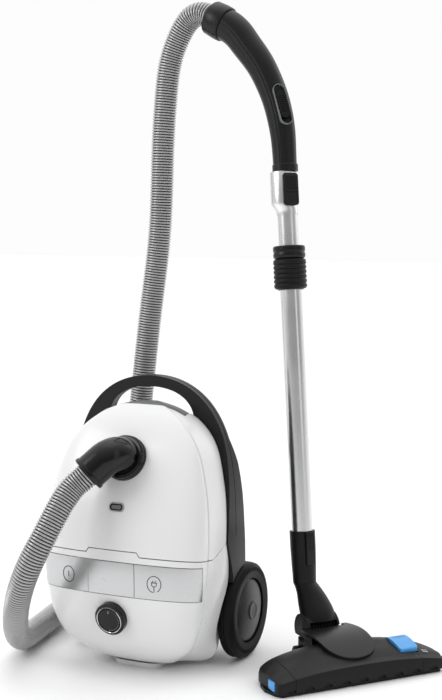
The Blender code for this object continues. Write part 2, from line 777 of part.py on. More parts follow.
def make_caster():
    fork = add("caster_fork", cylinder((0, 0, 0), (0, 0, 0.0040), 0.0155, SMALL), GREY, CASTER_AXIS)
    for side in (-1, 1):
        low = (min(side * 0.0085, side * 0.0112), -0.013, 0.0030)
        high = (max(side * 0.0085, side * 0.0112), 0.001, 0.0235)
        cheek = add(f"caster_cheek_{side}", box(low, high), None, CASTER_AXIS)
        boolean(fork, cheek, "UNION")
    pin = cylinder((-0.010, -CASTER_TRAIL, 0.0182), (0.010, -CASTER_TRAIL, 0.0182), 0.0018, 10)
    boolean(fork, add("caster_pin", pin, None, CASTER_AXIS), "UNION")
    roller = [
        (0.0110, 0.0078),
        (0.0118, 0.0060),
        (0.0118, -0.0060),
        (0.0110, -0.0078),
        (0.0022, -0.0078),
        (0.0022, 0.0078),
    ]
    turned("caster_roller", roller, RUBBER, CASTER_ROLLER_AXIS, None, 20, closed=True)


# ---------------------------------------------------------------- inside the canister
def make_insides():
    grille = add("exhaust_grille", box((-0.035, 0.1288, 0.125), (0.035, 0.1313, 0.175)), GREY)
    slots = add("grille_slots", box((-0.030, 0.12, 0.1290), (0.030, 0.14, 0.1315)))
    array = slots.modifiers.new("rows", "ARRAY")
    array.count = 8
    array.use_relative_offset = False
    array.use_constant_offset = True
    array.constant_offset_displace = (0, 0, 0.0056)
    boolean(grille, slots)
    add("exhaust_filter", box((-0.033, 0.1215, 0.127), (0.033, 0.1283, 0.173)), PAPER)

    flange = cylinder((0, 0.110, 0.060), (0, 0.1330, 0.060), 0.0135, SMALL)
    outlet = add("cord_outlet", flange, RUBBER)
    boolean(outlet, add("outlet_seat", pan_skin(-GAP)))
    neck = cylinder((0, 0.108, 0.060), (0, 0.1320, 0.060), 0.0092, SMALL)
    boolean(outlet, add("outlet_neck", neck), "UNION")
    bore = cylinder((0, 0.09, 0.060), (0, 0.13, 0.060), 0.0045, SMALL)
    boolean(outlet, add("outlet_bore", bore))

    plate = add("bulkhead", box((-0.110, -0.050, 0.1830), (0.110, 0.120, 0.1852)), GREY)
    boolean(plate, add("bulkhead_edge", pan_skin(0.0040)), "INTERSECT")
    vent = box((-0.070, 0.005, 0.17), (0.000, 0.065, 0.19))
    boolean(plate, add("bulkhead_vent", vent))
    add("motor_filter", box((-0.075, 0.0, 0.1745), (0.005, 0.070, 0.1825)), PAPER)

    motor = [
        (0.0, 0.160),
        (0.030, 0.160),
        (0.044, 0.155),
        (0.044, 0.115),
        (0.034, 0.110),
        (0.034, 0.082),
        (0.010, 0.078),
        (0.0, 0.078),
    ]
    turned("motor", motor, ALUMINIUM, None, Matrix.Translation(MOTOR_PLACE))
    blades = 9
    outline = []
    for k in range(blades):
        for turn, radius in ((0.0, 0.040), (0.35, 0.040), (0.45, 0.012), (0.90, 0.012)):
            angle = 2 * math.pi * (k + turn) / blades
            outline.append((radius * math.cos(angle), radius * math.sin(angle)))
    add("fan", prism(outline, 2, 0.0, 0.009), ALUMINIUM, FAN_AXIS)

    reel = [
        (0.044, 0.015),
        (0.044, 0.013),
        (0.022, 0.013),
        (0.022, -0.013),
        (0.044, -0.013),
        (0.044, -0.015),
        (0.008, -0.015),
        (0.008, 0.015),
    ]
    turned("cord_reel", reel, GREY, REEL_AXIS, closed=True)
    add("circuit_board", box((-0.026, -0.0790, 0.130), (0.026, -0.0774, 0.158)), BOARD)

    at, out = on_face(INLET_Z)
    holder = add("bag_holder", box((-0.036, -0.028, -0.0135), (0.036, 0.028, -0.0110)), GREY,
                 None, axis_matrix(at, out))
    opening = cylinder(at - out * 0.03, at + out * 0.01, 0.019)
    boolean(holder, add("bag_opening", opening))
    add("dust_bag", bevelled_box((-0.072, -0.012, 0.190), (0.072, 0.070, 0.292), 0.022, 3), PAPER)


# ---------------------------------------------------------------- floor head
def head_plan():
    """The head's outline from above, anticlockwise, as (x, y) points."""
    right = [(0.130, 0.0), (0.138, 0.010), (0.1430, 0.033), (0.1390, 0.055), (0.128, 0.072)]
    right.append((0.100, HEAD_DEPTH))
    return right + [(-a, b) for a, b in reversed(right)]


def head_ridge(x):
    return HEAD_RIDGE_Z - 0.0216 * (abs(x) / 0.142) ** 2.4


def head_section(x, front, back):
    """The head's outline across its length at x, as (y, z) points."""
    ridge = head_ridge(x)
    edge = HEAD_FRONT_Z * (ridge / HEAD_RIDGE_Z) ** 0.7
    depth = back - front
    points = [(0.0, HEAD_LOW_Z), (0.0, edge - 0.004), (0.03, edge), (0.14, edge + 0.0010)]
    points += [(0.62, ridge), (0.85, ridge - 0.0020), (1.0, ridge - 0.0090), (1.0, HEAD_LOW_Z)]
    return [(front + depth * share, z) for share, z in points]


def make_head():
    ends = ((0.1425, 0.026, 0.040), (0.1390, 0.013, 0.055), (0.1300, 0.0, 0.070))
    stations = list(ends) + [(x, 0.0, HEAD_DEPTH) for x in (0.112, HEAD_SEAM, 0.080, 0.050, 0.020)]
    stations += [(-x, front, back) for x, front, back in reversed(stations)]
    rings = [[(x, y, z) for y, z in head_section(x, a, b)] for x, a, b in stations]
    body = add("head_body", loft(rings), CHARCOAL, HEAD)
    hollow_section = [(0.004, 0.0), (0.004, 0.0220), (0.053, 0.0380), (0.080, 0.0320)]
    hollow_section.append((0.080, 0.0))
    chamber = prism(hollow_section, 0, -0.078, 0.066)
    boolean(body, add("head_chamber", chamber, None, HEAD))
    for label, low, high in (("tail", -0.1055, -0.07), ("tip", 0.06, 0.1055)):
        groove = box((low, 0.0600, 0.0), (high, 0.0710, 0.0215))
        boolean(body, add("brush_groove_" + label, groove, None, HEAD))
    recess = [(0.0073, 0.06), (0.0073, 0.0214), (0.040, 0.0308), (0.054, 0.0340)]
    recess.append((0.0612, 0.0356))
    recess = prism(recess + [(0.0612, 0.06)], 0, PEDAL_LOW - 0.0005, PEDAL_HIGH + 0.0005)
    boolean(body, add("pedal_recess", recess, None, HEAD))
    duct = cylinder((0, 0.070, 0.024), (0, 0.095, 0.024), 0.0100, SMALL)
    boolean(body, add("head_duct", duct, None, HEAD))
    for label, side in (("left", -1), ("right", 1)):
        low = (min(side * 0.1370, side * 0.16), 0.0095, 0.0062)
        high = (max(side * 0.1370, side * 0.16), 0.0305, 0.0190)
        boolean(body, add(f"insert_pocket_{label}", box(low, high), None, HEAD))
        low = (min(side * 0.1373, side * 0.1432), 0.0100, 0.0066)
        high = (max(side * 0.1373, side * 0.1432), 0.0300, 0.0186)
        add(f"side_insert_{label}", bevelled_box(low, high, 0.0008, 1), BLUE, HEAD)

    plan = [(a * 0.975, 0.003 + b * 0.94) for a, b in head_plan()]
    sole = add("sole_plate", prism(plan, 2, 0.0002, HEAD_LOW_Z - GAP), GREY, HEAD)
    throat = box((-0.074, 0.026, -0.01), (0.062, 0.046, 0.01))
    boolean(sole, add("sole_throat", throat, None, HEAD))
    slot = box((-0.1045, 0.0608, -0.01), (0.1045, 0.0702, 0.01))
    boolean(sole, add("brush_slot", slot, None, HEAD))
    strip = box((-0.103, 0.0622, 0.0060), (0.103, 0.0688, 0.0150))
    add("brush_strip", strip, RUBBER, BRUSH_AXIS, BRUSH_AXIS.matrix_local.inverted())

    pedal = prism(PEDAL_SECTION, 0, PEDAL_LOW, PEDAL_HIGH)
    add("head_pedal", pedal, BLUE, PEDAL_AXIS, PEDAL_AXIS.matrix_local.inverted())

    cover_top = [(0.010, 0.0340), (0.020, 0.0385), (0.055, 0.0508), (0.090, 0.0542)]
    cover_top.append((0.122, 0.0515))
    cover_low = [(b, z - 0.0030) for b, z in reversed(cover_top)]
    cover = add("bridge_cover", prism(cover_top + cover_low, 0, -0.06, 0.06), CHARCOAL, HEAD)
    right = [(0.0, 0.0140), (0.016, 0.0165), (0.029, 0.024), (0.0375, 0.037), (0.0410, 0.055)]
    right += [(0.0415, 0.080), (0.0400, 0.103), (0.0380, 0.118), (0.0300, 0.118), (0.0295, 0.107)]
    leaf = right + [(-x, y) for x, y in reversed(right[1:])]
    boolean(cover, add("cover_leaf", prism(leaf, 2, 0.0, 0.1), None, HEAD), "INTERSECT")


def make_carriage():
    """The carrier behind the head: it holds the neck's pivot and the two rollers."""
    front = box((-0.0365, HEAD_DEPTH + GAP, 0.0100), (0.0365, 0.1100, 0.0460))
    carriage = add("head_carriage", front, CHARCOAL, HEAD)
    tail = box((-0.0215, 0.1050, 0.0060), (0.0215, 0.1560, 0.0340))
    boolean(carriage, add("carriage_tail", tail, None, HEAD), "UNION")
    cradle = cylinder((-0.05, *PIVOT.yz), (0.05, *PIVOT.yz), DRUM_RADIUS + GAP)
    boolean(carriage, add("carriage_cradle", cradle, None, HEAD))
    sweep = []
    for k in range(21):
        angle = math.radians(-96 + 186 * k / 20)
        y, z = HOOD_SWEEP * math.cos(angle), HOOD_SWEEP * math.sin(angle)
        sweep.append((PIVOT.y + y, PIVOT.z + z))
    room = add("hood_room", prism(sweep, 0, -0.0230, 0.0230), None, HEAD)
    boolean(carriage, room)
    slope = [(0.100, 0.06), (0.1075, 0.0430), (0.112, 0.0300), (0.2, 0.0300), (0.2, 0.06)]
    for label, low, high in (("left", -0.1, -0.0213), ("right", 0.0213, 0.1)):
        boolean(carriage, add("carriage_slope_" + label, prism(slope, 0, low, high), None, HEAD))
    duct = cylinder((0, 0.080, 0.024), (0, 0.1220, 0.024), 0.0100, SMALL)
    boolean(carriage, add("carriage_duct", duct, None, HEAD))
    rise = cylinder((0, 0.1220, 0.0150), (0, 0.1350, 0.0450), 0.0100, SMALL)
    boolean(carriage, add("carriage_rise", rise, None, HEAD))
    axle_hole = cylinder((-0.05, *ROLLER_AT), (0.05, *ROLLER_AT), 0.0026, 10)
    boolean(carriage, add("axle_hole", axle_hole, None, HEAD))

    drum = [(0.0, 0.0222)]
    ribs = 6
    for k in range(ribs):
        high = 0.0222 - 0.0444 * k / ribs
        low = 0.0222 - 0.0444 * (k + 1) / ribs
        drum += [(DRUM_RADIUS, high - 0.0005), (DRUM_RADIUS, high - 0.0042)]
        drum.append((DRUM_RADIUS - 0.0020, low + 0.0012))
    drum.append((0.0, -0.0222))
    side_ways = Matrix.Translation(PIVOT) @ Matrix.Rotation(math.radians(90), 4, "Y")
    turned("pivot_bellows", drum, RUBBER, HEAD, side_ways, 20)

    half = [
        (0.0, 0.0325),
        (0.0070, 0.0325),
        (0.0080, 0.0315),
        (0.0080, 0.0232),
        (0.0072, 0.0222),
        (0.0022, 0.0222),
    ]
    roller = half + [(radius, -height) for radius, height in reversed(half)]
    turned("head_roller", roller, RUBBER, HEAD_ROLLER_AXIS, None, SMALL)


# ---------------------------------------------------------------- neck and wand
def tube_loft(stations, sides=ROUND, shrink=0.0):
    """A skin through rings given as (centre, direction, half width, half depth)."""
    rings = []
    for centre, direction, wide, deep in stations:
        up = Vector(direction).normalized()
        back = up.cross(Vector((1, 0, 0))).normalized()
        side = back.cross(up)
        ring = []
        for k in range(sides):
            angle = 2 * math.pi * k / sides
            reach = side * (wide - shrink) * math.cos(angle)
            ring.append(Vector(centre) + reach + back * (deep - shrink) * math.sin(angle))
        rings.append(ring)
    return loft(rings)


def make_knee():
    """The lower neck: a hood over the bellows that narrows up to the swivel."""
    to_neck = NECK_AXIS.matrix_local.inverted() @ SWIVEL.matrix_local
    top = to_neck.translation
    up = (to_neck.to_3x3() @ Vector((0, 0, 1))).normalized()
    radius = SWIVEL_RADIUS
    stations = [
        (Vector((0.0, -0.001, 0.000)), Vector((0, 0.05, 1)), 0.0262, 0.0232),
        (Vector((0.0010, 0.0010, 0.018)), Vector((0, 0.15, 1)), 0.0262, 0.0235),
        (Vector((-0.0010, 0.0080, 0.034)), Vector((0, 0.25, 1)), 0.0240, 0.0220),
        (Vector((-0.0038, 0.0150, 0.049)), up + Vector((0.05, 0.1, 0)), 0.0203, 0.0198),
        (top - up * 0.0003, up, radius, radius),
    ]
    knee = add("neck_knee", tube_loft(stations), CHARCOAL, NECK_AXIS)
    hood = cylinder((-0.0262, 0, 0), (0.0262, 0, 0), 0.0225)
    boolean(knee, add("knee_hood", hood, None, NECK_AXIS), "UNION")
    stations.append((top + up * 0.01, up, radius, radius))
    boolean(knee, add("knee_bore", tube_loft(stations[1:], SMALL, 0.0032), None, NECK_AXIS))
    drum = cylinder((-0.0226, 0, 0), (0.0226, 0, 0), DRUM_RADIUS + 0.0024)
    boolean(knee, add("knee_drum", drum, None, NECK_AXIS))
    mouth = [(-0.05, -0.05), (0.0400, -0.05), (0.0400, -0.0030), (0.0, 0.0)]
    mouth += [(-0.0170, 0.0130), (-0.05, 0.018)]
    boolean(knee, add("knee_mouth", prism(mouth, 0, -0.0226, 0.0226), None, NECK_AXIS))
    below = [(-0.05, -0.05), (-0.05, 0.010), (-0.0190, 0.0060), (-0.012, -0.0120), (0.012, -0.0120)]
    below += [(0.05, -0.010), (0.05, -0.05)]
    boolean(knee, add("knee_below", prism(below, 0, -0.05, 0.05), None, NECK_AXIS))


def make_wand():
    to_wand = WAND.matrix_local.inverted() @ SWIVEL.matrix_local
    low = to_wand.translation
    up = (to_wand.to_3x3() @ Vector((0, 0, 1))).normalized()
    straight = Vector((0, 0, 1))
    stations = [
        (low, up, SWIVEL_RADIUS, SWIVEL_RADIUS),
        (Vector((0, 0, -0.0500)), straight, 0.0182, 0.0182),
        (Vector((0, 0, -0.0300)), straight, 0.0188, 0.0188),
        (Vector((0, 0, 0)), straight, 0.0190, 0.0190),
    ]
    body = add("neck_socket", tube_loft(stations), CHARCOAL, WAND)
    bore = cylinder((0, 0, -0.0440), (0, 0, 0.01), OUTER_TUBE + GAP)
    boolean(body, add("socket_bore", bore, None, WAND))
    stations = [(low - up * 0.01, up, 0.0140, 0.0140), (low + up * 0.006, up, 0.0140, 0.0140)]
    stations.append((Vector((0, 0, -0.0400)), straight, 0.0140, 0.0140))
    boolean(body, add("socket_duct", tube_loft(stations, SMALL), None, WAND))
    clip_pocket = box((0.0168, -0.0082, -0.0505), (0.03, 0.0082, 0.01))
    pocket = add("clip_pocket", clip_pocket, None, WAND, Matrix.Rotation(CLIP_TURN, 4, "Z"))
    boolean(body, pocket)
    clip = bevelled_box((0.0180, -0.0077, -0.0500), (0.0206, 0.0077, -0.0010), 0.0008, 1)
    add("neck_clip", clip, CHARCOAL, NECK_CLIP_AXIS)

    tube = [
        (OUTER_TUBE, COLLAR_LOW + 0.030),
        (OUTER_TUBE, -0.0436),
        (OUTER_TUBE - 0.0008, -0.0436),
        (OUTER_TUBE - 0.0008, COLLAR_LOW + 0.030),
    ]
    turned("outer_tube", tube, ALUMINIUM, WAND, closed=True)
    core = [
        (0.0230, COLLAR_TOP),
        (0.0240, COLLAR_TOP - 0.003),
        (0.0240, COLLAR_TOP - 0.018),
        (0.0205, COLLAR_TOP - 0.0200),
        (0.0205, COLLAR_LOW + 0.0015),
        (0.0185, COLLAR_LOW),
        (OUTER_TUBE + GAP, COLLAR_LOW),
        (OUTER_TUBE + GAP, COLLAR_LOW + 0.0303),
        (INNER_TUBE + GAP, COLLAR_LOW + 0.0320),
        (INNER_TUBE + GAP, COLLAR_TOP),
    ]
    turned("collar_core", core, RUBBER, WAND, closed=True)
    sleeve = [
        (0.0235, 0.0450),
        (0.0245, 0.0430),
        (0.0245, 0.0040),
        (0.0232, 0.0020),
        (0.0208, 0.0020),
        (0.0208, 0.0450),
    ]
    turned("collar_sleeve", sleeve, RUBBER, COLLAR_AXIS, closed=True)

    tube = [
        (INNER_TUBE, SLEEVE_LOW + 0.010),
        (INNER_TUBE, 0.0200),
        (INNER_TUBE - 0.0010, 0.0200),
        (INNER_TUBE - 0.0010, SLEEVE_LOW + 0.010),
    ]
    turned("inner_tube", tube, ALUMINIUM, TELESCOPE_AXIS, closed=True)
    heights = (SLEEVE_LOW, SLEEVE_LOW + 0.005, SLEEVE_LOW + 0.018, SLEEVE_TOP)
    grown = (0.0, 0.12, 1.0, 1.0)
    rings = []
    for height, share in zip(heights, grown):
        radius = 0.0160 + (SLEEVE_RADIUS - 0.0160) * share
        shift = SLEEVE_OFFSET * share
        ring = []
        for k in range(ROUND):
            angle = 2 * math.pi * k / ROUND
            ring.append((shift + radius * math.cos(angle), radius * math.sin(angle), height))
        rings.append(ring)
    turn = Matrix.Rotation(HANDLE_TURN, 4, "Z")
    fitting = add("tube_sleeve", loft(rings), ALUMINIUM, TELESCOPE_AXIS, turn)
    bore = cylinder((0, 0, SLEEVE_LOW - 0.01), (0, 0, SLEEVE_LOW + 0.0103), INNER_TUBE + GAP)
    boolean(fitting, add("sleeve_bore", bore, None, TELESCOPE_AXIS))
    bore = cylinder((0, 0, SLEEVE_LOW), (0, 0, SLEEVE_TOP + 0.01), 0.0139)
    boolean(fitting, add("sleeve_bore_top", bore, None, TELESCOPE_AXIS))
    pocket = box((0.0160, -0.0122, SLEEVE_TOP - 0.0530), (0.03, 0.0122, SLEEVE_TOP - 0.0035))
    pocket_turn = Matrix.Rotation(TUBE_CLIP_TURN, 4, "Z")
    boolean(fitting, add("tube_clip_pocket", pocket, None, TELESCOPE_AXIS, pocket_turn))
    clip = bevelled_box((0.0175, -0.0117, -0.0525), (0.0222, 0.0117, -0.0040), 0.0012, 1)
    add("tube_clip", clip, CHARCOAL, TUBE_CLIP_AXIS)


def handle_line():
    """Centre line and radius of the handle, in its own frame: X the way it bends, Z up."""
    points = [
        (0.0, 0.0, SLEEVE_TOP + 0.010),
        (0.0002, 0.0, 0.5614),
        (0.0009, 0.0, 0.5884),
        (0.0040, 0.0, 0.6157),
        (0.0100, 0.0, 0.6435),
        (0.0198, 0.0, 0.6720),
        (0.0345, 0.0, 0.7030),
        (0.0535, 0.0, 0.7315),
        (0.0680, 0.0, 0.7520),
        HANDLE_END,
    ]
    line = smooth_line(points, 16)
    line[-2] = line[-1] - np.array(HANDLE_OUT) * 0.006
    radius_at = (0, 0.12, 0.3, 0.6, 0.85, 1)
    radius = (0.0176, 0.0176, 0.0192, 0.0202, 0.0212, 0.0218)
    radii = np.interp(np.linspace(0, 1, 16), radius_at, radius)
    return [Vector(point) for point in line], list(radii)


def make_handle():
    line, radii = handle_line()
    turn = Matrix.Rotation(HANDLE_TURN, 4, "Z")
    grip = add("handle", swept(line, radii), CHARCOAL, TELESCOPE_AXIS, turn)
    ring = cylinder((0, 0, SLEEVE_TOP + GAP), (0, 0, SLEEVE_TOP + 0.0105), 0.0192)
    boolean(grip, add("handle_ring", ring, None, TELESCOPE_AXIS), "UNION")
    low = Vector((0, 0, SLEEVE_TOP - 0.01))
    high = line[-1] + HANDLE_OUT * 0.01
    bore = swept([low] + line[1:-1] + [high], [0.0138] * len(line))
    boolean(grip, add("handle_bore", bore, None, TELESCOPE_AXIS, turn))
    pocket = box((-0.03, -0.0084, -0.0270), (-0.0160, 0.0084, 0.0270))
    seat = add("slider_pocket", pocket, None, SLIDER_AXIS)
    boolean(grip, seat)
    slider = bevelled_box((-0.0218, -0.0078, -0.0190), (-0.0165, 0.0078, 0.0190), 0.0016, 2)
    add("suction_slider", slider, RUBBER, SLIDER_AXIS)
    cuff = [
        (0.0222, CUFF_LENGTH),
        (0.0241, CUFF_LENGTH - 0.002),
        (0.0245, 0.0120),
        (0.0240, 0.0012),
        (0.0230, 0.0),
        (0.0142, 0.0),
        (0.0142, 0.0200),
        (HOSE_BORE, 0.0230),
        (HOSE_BORE, CUFF_LENGTH),
    ]
    turned("hose_cuff", cuff, CHARCOAL, CUFF_AXIS, closed=True)


# ---------------------------------------------------------------- hose
HOSE_ROUTE = [
    (-0.0446, -0.1142, 0.2784),
    (-0.0535, -0.1270, 0.2615),
    (-0.0615, -0.1420, 0.2380),
    (-0.0710, -0.1560, 0.2100),
    (-0.0830, -0.1650, 0.1815),
    (-0.0970, -0.1660, 0.1510),
    (-0.1150, -0.1530, 0.1180),
    (-0.1350, -0.1290, 0.0860),
    (-0.1540, -0.1000, 0.0570),
    (-0.1700, -0.0680, 0.0340),
    (-0.1810, -0.0350, 0.0220),
    (-0.1890, 0.0050, 0.0200),
    (-0.1970, 0.0500, 0.0200),
    (-0.2040, 0.0950, 0.0210),
    (-0.2000, 0.1380, 0.0290),
    (-0.1870, 0.1690, 0.0500),
    (-0.1670, 0.1890, 0.0860),
    (-0.1470, 0.1950, 0.1360),
    (-0.1310, 0.1950, 0.1950),
    (-0.1180, 0.1930, 0.2600),
    (-0.1060, 0.1900, 0.3300),
    (-0.0960, 0.1890, 0.4060),
    (-0.0835, 0.1930, 0.5170),
    (-0.0715, 0.1980, 0.6280),
    (-0.0670, 0.2005, 0.7520),
    (-0.0625, 0.2025, 0.8300),
    (-0.0545, 0.2050, 0.8900),
    (-0.0420, 0.2065, 0.9230),
    (-0.0340, 0.2065, 0.9370),
    (-0.0255, 0.2065, 0.9480),
    (-0.0170, 0.2059, 0.9545),
    (-0.0060, 0.2052, 0.9578),
    (0.0060, 0.2045, 0.9562),
]
END_STRAIGHT = 0.004  # straight run at each end, so that neighbours' caps are parallel
STRETCHES = ("hose_a", "hose_b", "hose_c", "hose_d", "hose_e")
STRETCH_ENDS = (0.0, 0.165, 0.33, 0.49, 0.65, 1.0)  # shares of the hose's length


def tube(points, outer, inner, sides):
    """A bent tube that is open at both ends, round a line of points."""
    line = np.array([tuple(point) for point in points])
    along = np.gradient(line, axis=0)
    along /= np.linalg.norm(along, axis=1)[:, None]
    angles = np.linspace(0, 2 * math.pi, sides, endpoint=False)
    side = np.cross(along[0], (0.0, 0.0, 1.0))
    bm = bmesh.new()
    rows = []
    for centre, ahead in zip(line, along):
        side = side - ahead * np.dot(side, ahead)
        side /= np.linalg.norm(side)
        other = np.cross(ahead, side)
        pair = []
        for radius in (outer, inner):
            reach = [side * math.cos(a) + other * math.sin(a) for a in angles]
            pair.append([bm.verts.new(centre + radius * r) for r in reach])
        rows.append(pair)
    for k in range(sides):
        after = (k + 1) % sides
        for row, following in zip(rows, rows[1:]):
            for one, two in zip(row, following):
                bm.faces.new((one[k], one[after], two[after], two[k]))
        for out, bore in (rows[0], rows[-1]):
            bm.faces.new((out[k], out[after], bore[after], bore[k]))
    bmesh.ops.triangulate(bm, faces=bm.faces)
    return mesh_of(bm)


def make_hose():
    end = Vector((0, 0, ELBOW_RISE)) + ELBOW_EXIT * ELBOW_REACH
    mouth = ELBOW_AXIS.matrix_world @ (end + ELBOW_EXIT * GAP)
    out_of_elbow = ELBOW_AXIS.matrix_world.to_3x3() @ ELBOW_EXIT
    cuff = CUFF_AXIS.matrix_world @ Vector((0, 0, CUFF_LENGTH + GAP))
    into_cuff = CUFF_AXIS.matrix_world.to_3x3() @ Vector((0, 0, -1))
    route = [mouth, mouth + out_of_elbow * 0.008] + HOSE_ROUTE + [cuff]
    fine = smooth_line(route, 1201)
    for name, start, end in zip(STRETCHES, STRETCH_ENDS, STRETCH_ENDS[1:]):
        first, last = round(start * 1200), round(end * 1200)
        part = fine[first : last + 1]
        count = round(14 * (end - start) / 0.2) + 1
        picks = np.linspace(0, len(part) - 1, count).round().astype(int)
        leaving = np.array(out_of_elbow) if start == 0 else part[1] - part[0]
        leaving /= np.linalg.norm(leaving)
        arriving = np.array(into_cuff) if end == 1 else part[-1] - part[-2]
        arriving /= np.linalg.norm(arriving)
        clear = GAP if start > 0 else 0.0
        begin = [part[0] + leaving * clear, part[0] + leaving * (clear + END_STRAIGHT)]
        finish = [part[-1] - arriving * END_STRAIGHT, part[-1]]
        points = begin + list(part[picks[1:-1]]) + finish
        add(name, tube(points, HOSE_DIAMETER / 2, HOSE_BORE, HOSE_SIDES), HOSE)


# ---------------------------------------------------------------- joint axes
def move(x, y, z):
    return Matrix.Translation((x, y, z))


LID_AXIS = frame("lid_axis", move(0, FACE_Y - 0.0035, LID_LINE_Z - LID_GAP / 2))
turn_in = (math.sin(BUTTON_TURN), math.cos(BUTTON_TURN), 0)
POWER_AXIS = frame("power_axis", axis_matrix((-0.080, -0.070, 0.145), turn_in))
turn_in = (-math.sin(BUTTON_TURN), math.cos(BUTTON_TURN), 0)
REWIND_AXIS = frame("rewind_axis", axis_matrix((0.080, -0.070, 0.145), turn_in))
DIAL_AXIS = frame("dial_axis", axis_matrix(*on_face(DIAL_Z)))
inlet_place, inlet_out = on_face(INLET_Z)
inlet_turn = Matrix((Vector((1, 0, 0)), inlet_out.cross(Vector((1, 0, 0))), inlet_out))
ELBOW_AXIS = frame(
    "elbow_axis", Matrix.Translation(inlet_place) @ inlet_turn.transposed().to_4x4()
)
hose_start = Vector((-0.0300, -0.1030, 0.2940))
ELBOW_RISE = 0.0355
elbow_corner = inlet_place + inlet_out * ELBOW_RISE
ELBOW_REACH = (hose_start - elbow_corner).length
ELBOW_EXIT = inlet_turn @ (hose_start - elbow_corner).normalized()
LATCH_AXIS = frame("latch_axis", move(0, LATCH_FRONT_Y, 0.366))
sideways = Matrix.Rotation(math.radians(90), 4, "Y")
WHEEL_RIGHT_AXIS = frame("wheel_right_axis", move(WHEEL_INNER_X, WHEEL_Y, WHEEL_Z) @ sideways)
WHEEL_LEFT_AXIS = frame(
    "wheel_left_axis", move(-WHEEL_INNER_X, WHEEL_Y, WHEEL_Z) @ sideways.inverted()
)
CASTER_AXIS = frame(
    "caster_axis",
    move(0, CASTER_Y, CASTER_Z)
    @ Matrix.Rotation(math.radians(-90), 4, "X")
    @ Matrix.Rotation(math.radians(180), 4, "Z"),
)
CASTER_ROLLER_AXIS = frame(
    "caster_roller_axis", move(0, -CASTER_TRAIL, 0.0182) @ sideways, CASTER_AXIS
)
MOTOR_PLACE = Vector((-0.035, 0.035, 0.0))
FAN_AXIS = frame("fan_axis", move(MOTOR_PLACE.x, MOTOR_PLACE.y, 0.1625))
REEL_AXIS = frame("reel_axis", move(0.056, 0.035, 0.095) @ sideways)

HEAD = frame("head_frame", Matrix.Translation(HEAD_PLACE) @ Matrix.Rotation(HEAD_TURN, 4, "Z"))
NECK_AXIS = frame("neck_axis", Matrix.Translation(PIVOT), HEAD)
PEDAL_AXIS = frame("pedal_axis", move(0.086, 0.0400, 0.0380), HEAD)
BRUSH_AXIS = frame("brush_axis", move(0, 0.0655, 0.0120), HEAD)
HEAD_ROLLER_AXIS = frame("head_roller_axis", move(0, *ROLLER_AT) @ sideways, HEAD)
lean = Matrix.Rotation(-WAND_LEAN, 4, "X") @ Matrix.Rotation(WAND_ROLL, 4, "Y")
wand_place = Matrix.Translation(WAND_FOOT) @ lean
WAND = frame("wand_frame", wand_place, HEAD)
SWIVEL = frame("swivel_axis", wand_place @ move(0, 0, SWIVEL_Z), HEAD)
CLIP_TURN = math.radians(-83)
NECK_CLIP_AXIS = frame("neck_clip_axis", Matrix.Rotation(CLIP_TURN, 4, "Z"), WAND)
COLLAR_AXIS = frame("collar_axis", move(0, 0, COLLAR_LOW), WAND)
TELESCOPE_AXIS = frame("telescope_axis", Matrix.Identity(4), WAND)
TUBE_CLIP_TURN = math.radians(-98)
TUBE_CLIP_AXIS = frame(
    "tube_clip_axis", move(0, 0, SLEEVE_TOP) @ Matrix.Rotation(TUBE_CLIP_TURN, 4, "Z"), TELESCOPE_AXIS
)
HANDLE_END = (0.0854, 0.0, 0.7667)
HANDLE_OUT = Vector((0.839, 0.0, 0.545)).normalized()
handle_turn = Matrix.Rotation(HANDLE_TURN, 4, "Z")
SLIDER_AXIS = frame(
    "slider_axis",
    handle_turn
    @ move(0.0082, 0, 0.6365)
    @ Matrix.Rotation(math.radians(13), 4, "Y")
    @ Matrix.Rotation(math.radians(-45), 4, "Z"),
    TELESCOPE_AXIS,
)
CUFF_AXIS = frame(
    "cuff_axis",
    handle_turn @ axis_matrix(Vector(HANDLE_END) + HANDLE_OUT * GAP, HANDLE_OUT),
    TELESCOPE_AXIS,
)
bpy.context.view_layer.update()

make_casings()
make_bumper()
make_foot()
make_panel()
make_lid_fittings()
make_elbow()
make_wheels()
make_caster()
make_insides()
make_head()
make_carriage()
make_knee()
make_wand()
make_handle()
make_hose()
bpy.context.view_layer.update()
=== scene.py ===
"""Looks of the canister vacuum cleaner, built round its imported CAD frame."""

import math

import bmesh
import bpy
import numpy as np
from mathutils import Matrix, Vector


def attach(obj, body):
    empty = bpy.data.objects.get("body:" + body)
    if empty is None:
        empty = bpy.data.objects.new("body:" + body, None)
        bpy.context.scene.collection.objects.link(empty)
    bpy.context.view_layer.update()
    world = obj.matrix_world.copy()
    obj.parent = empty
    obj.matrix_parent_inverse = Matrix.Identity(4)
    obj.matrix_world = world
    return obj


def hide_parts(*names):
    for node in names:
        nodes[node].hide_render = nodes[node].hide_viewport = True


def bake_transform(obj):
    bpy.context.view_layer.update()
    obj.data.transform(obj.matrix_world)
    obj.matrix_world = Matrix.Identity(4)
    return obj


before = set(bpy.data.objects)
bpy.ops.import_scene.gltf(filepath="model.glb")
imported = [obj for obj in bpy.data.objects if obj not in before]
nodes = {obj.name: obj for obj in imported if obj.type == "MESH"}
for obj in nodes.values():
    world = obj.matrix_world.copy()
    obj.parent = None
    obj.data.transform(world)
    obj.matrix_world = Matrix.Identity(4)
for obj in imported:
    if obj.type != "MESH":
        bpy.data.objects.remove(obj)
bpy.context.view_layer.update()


# ---------------------------------------------------------------- camera and light
def look():
    data = bpy.data.cameras.new("camera")
    data.sensor_fit = "VERTICAL"
    data.sensor_height = 36.0
    data.lens = 70.71
    camera = bpy.data.objects.new("camera", data)
    camera.location = (0.934, -1.731, 0.666)
    camera.rotation_euler = (math.radians(84.0), 0.0, math.radians(25.0))
    bpy.context.scene.collection.objects.link(camera)
    bpy.context.scene.camera = camera


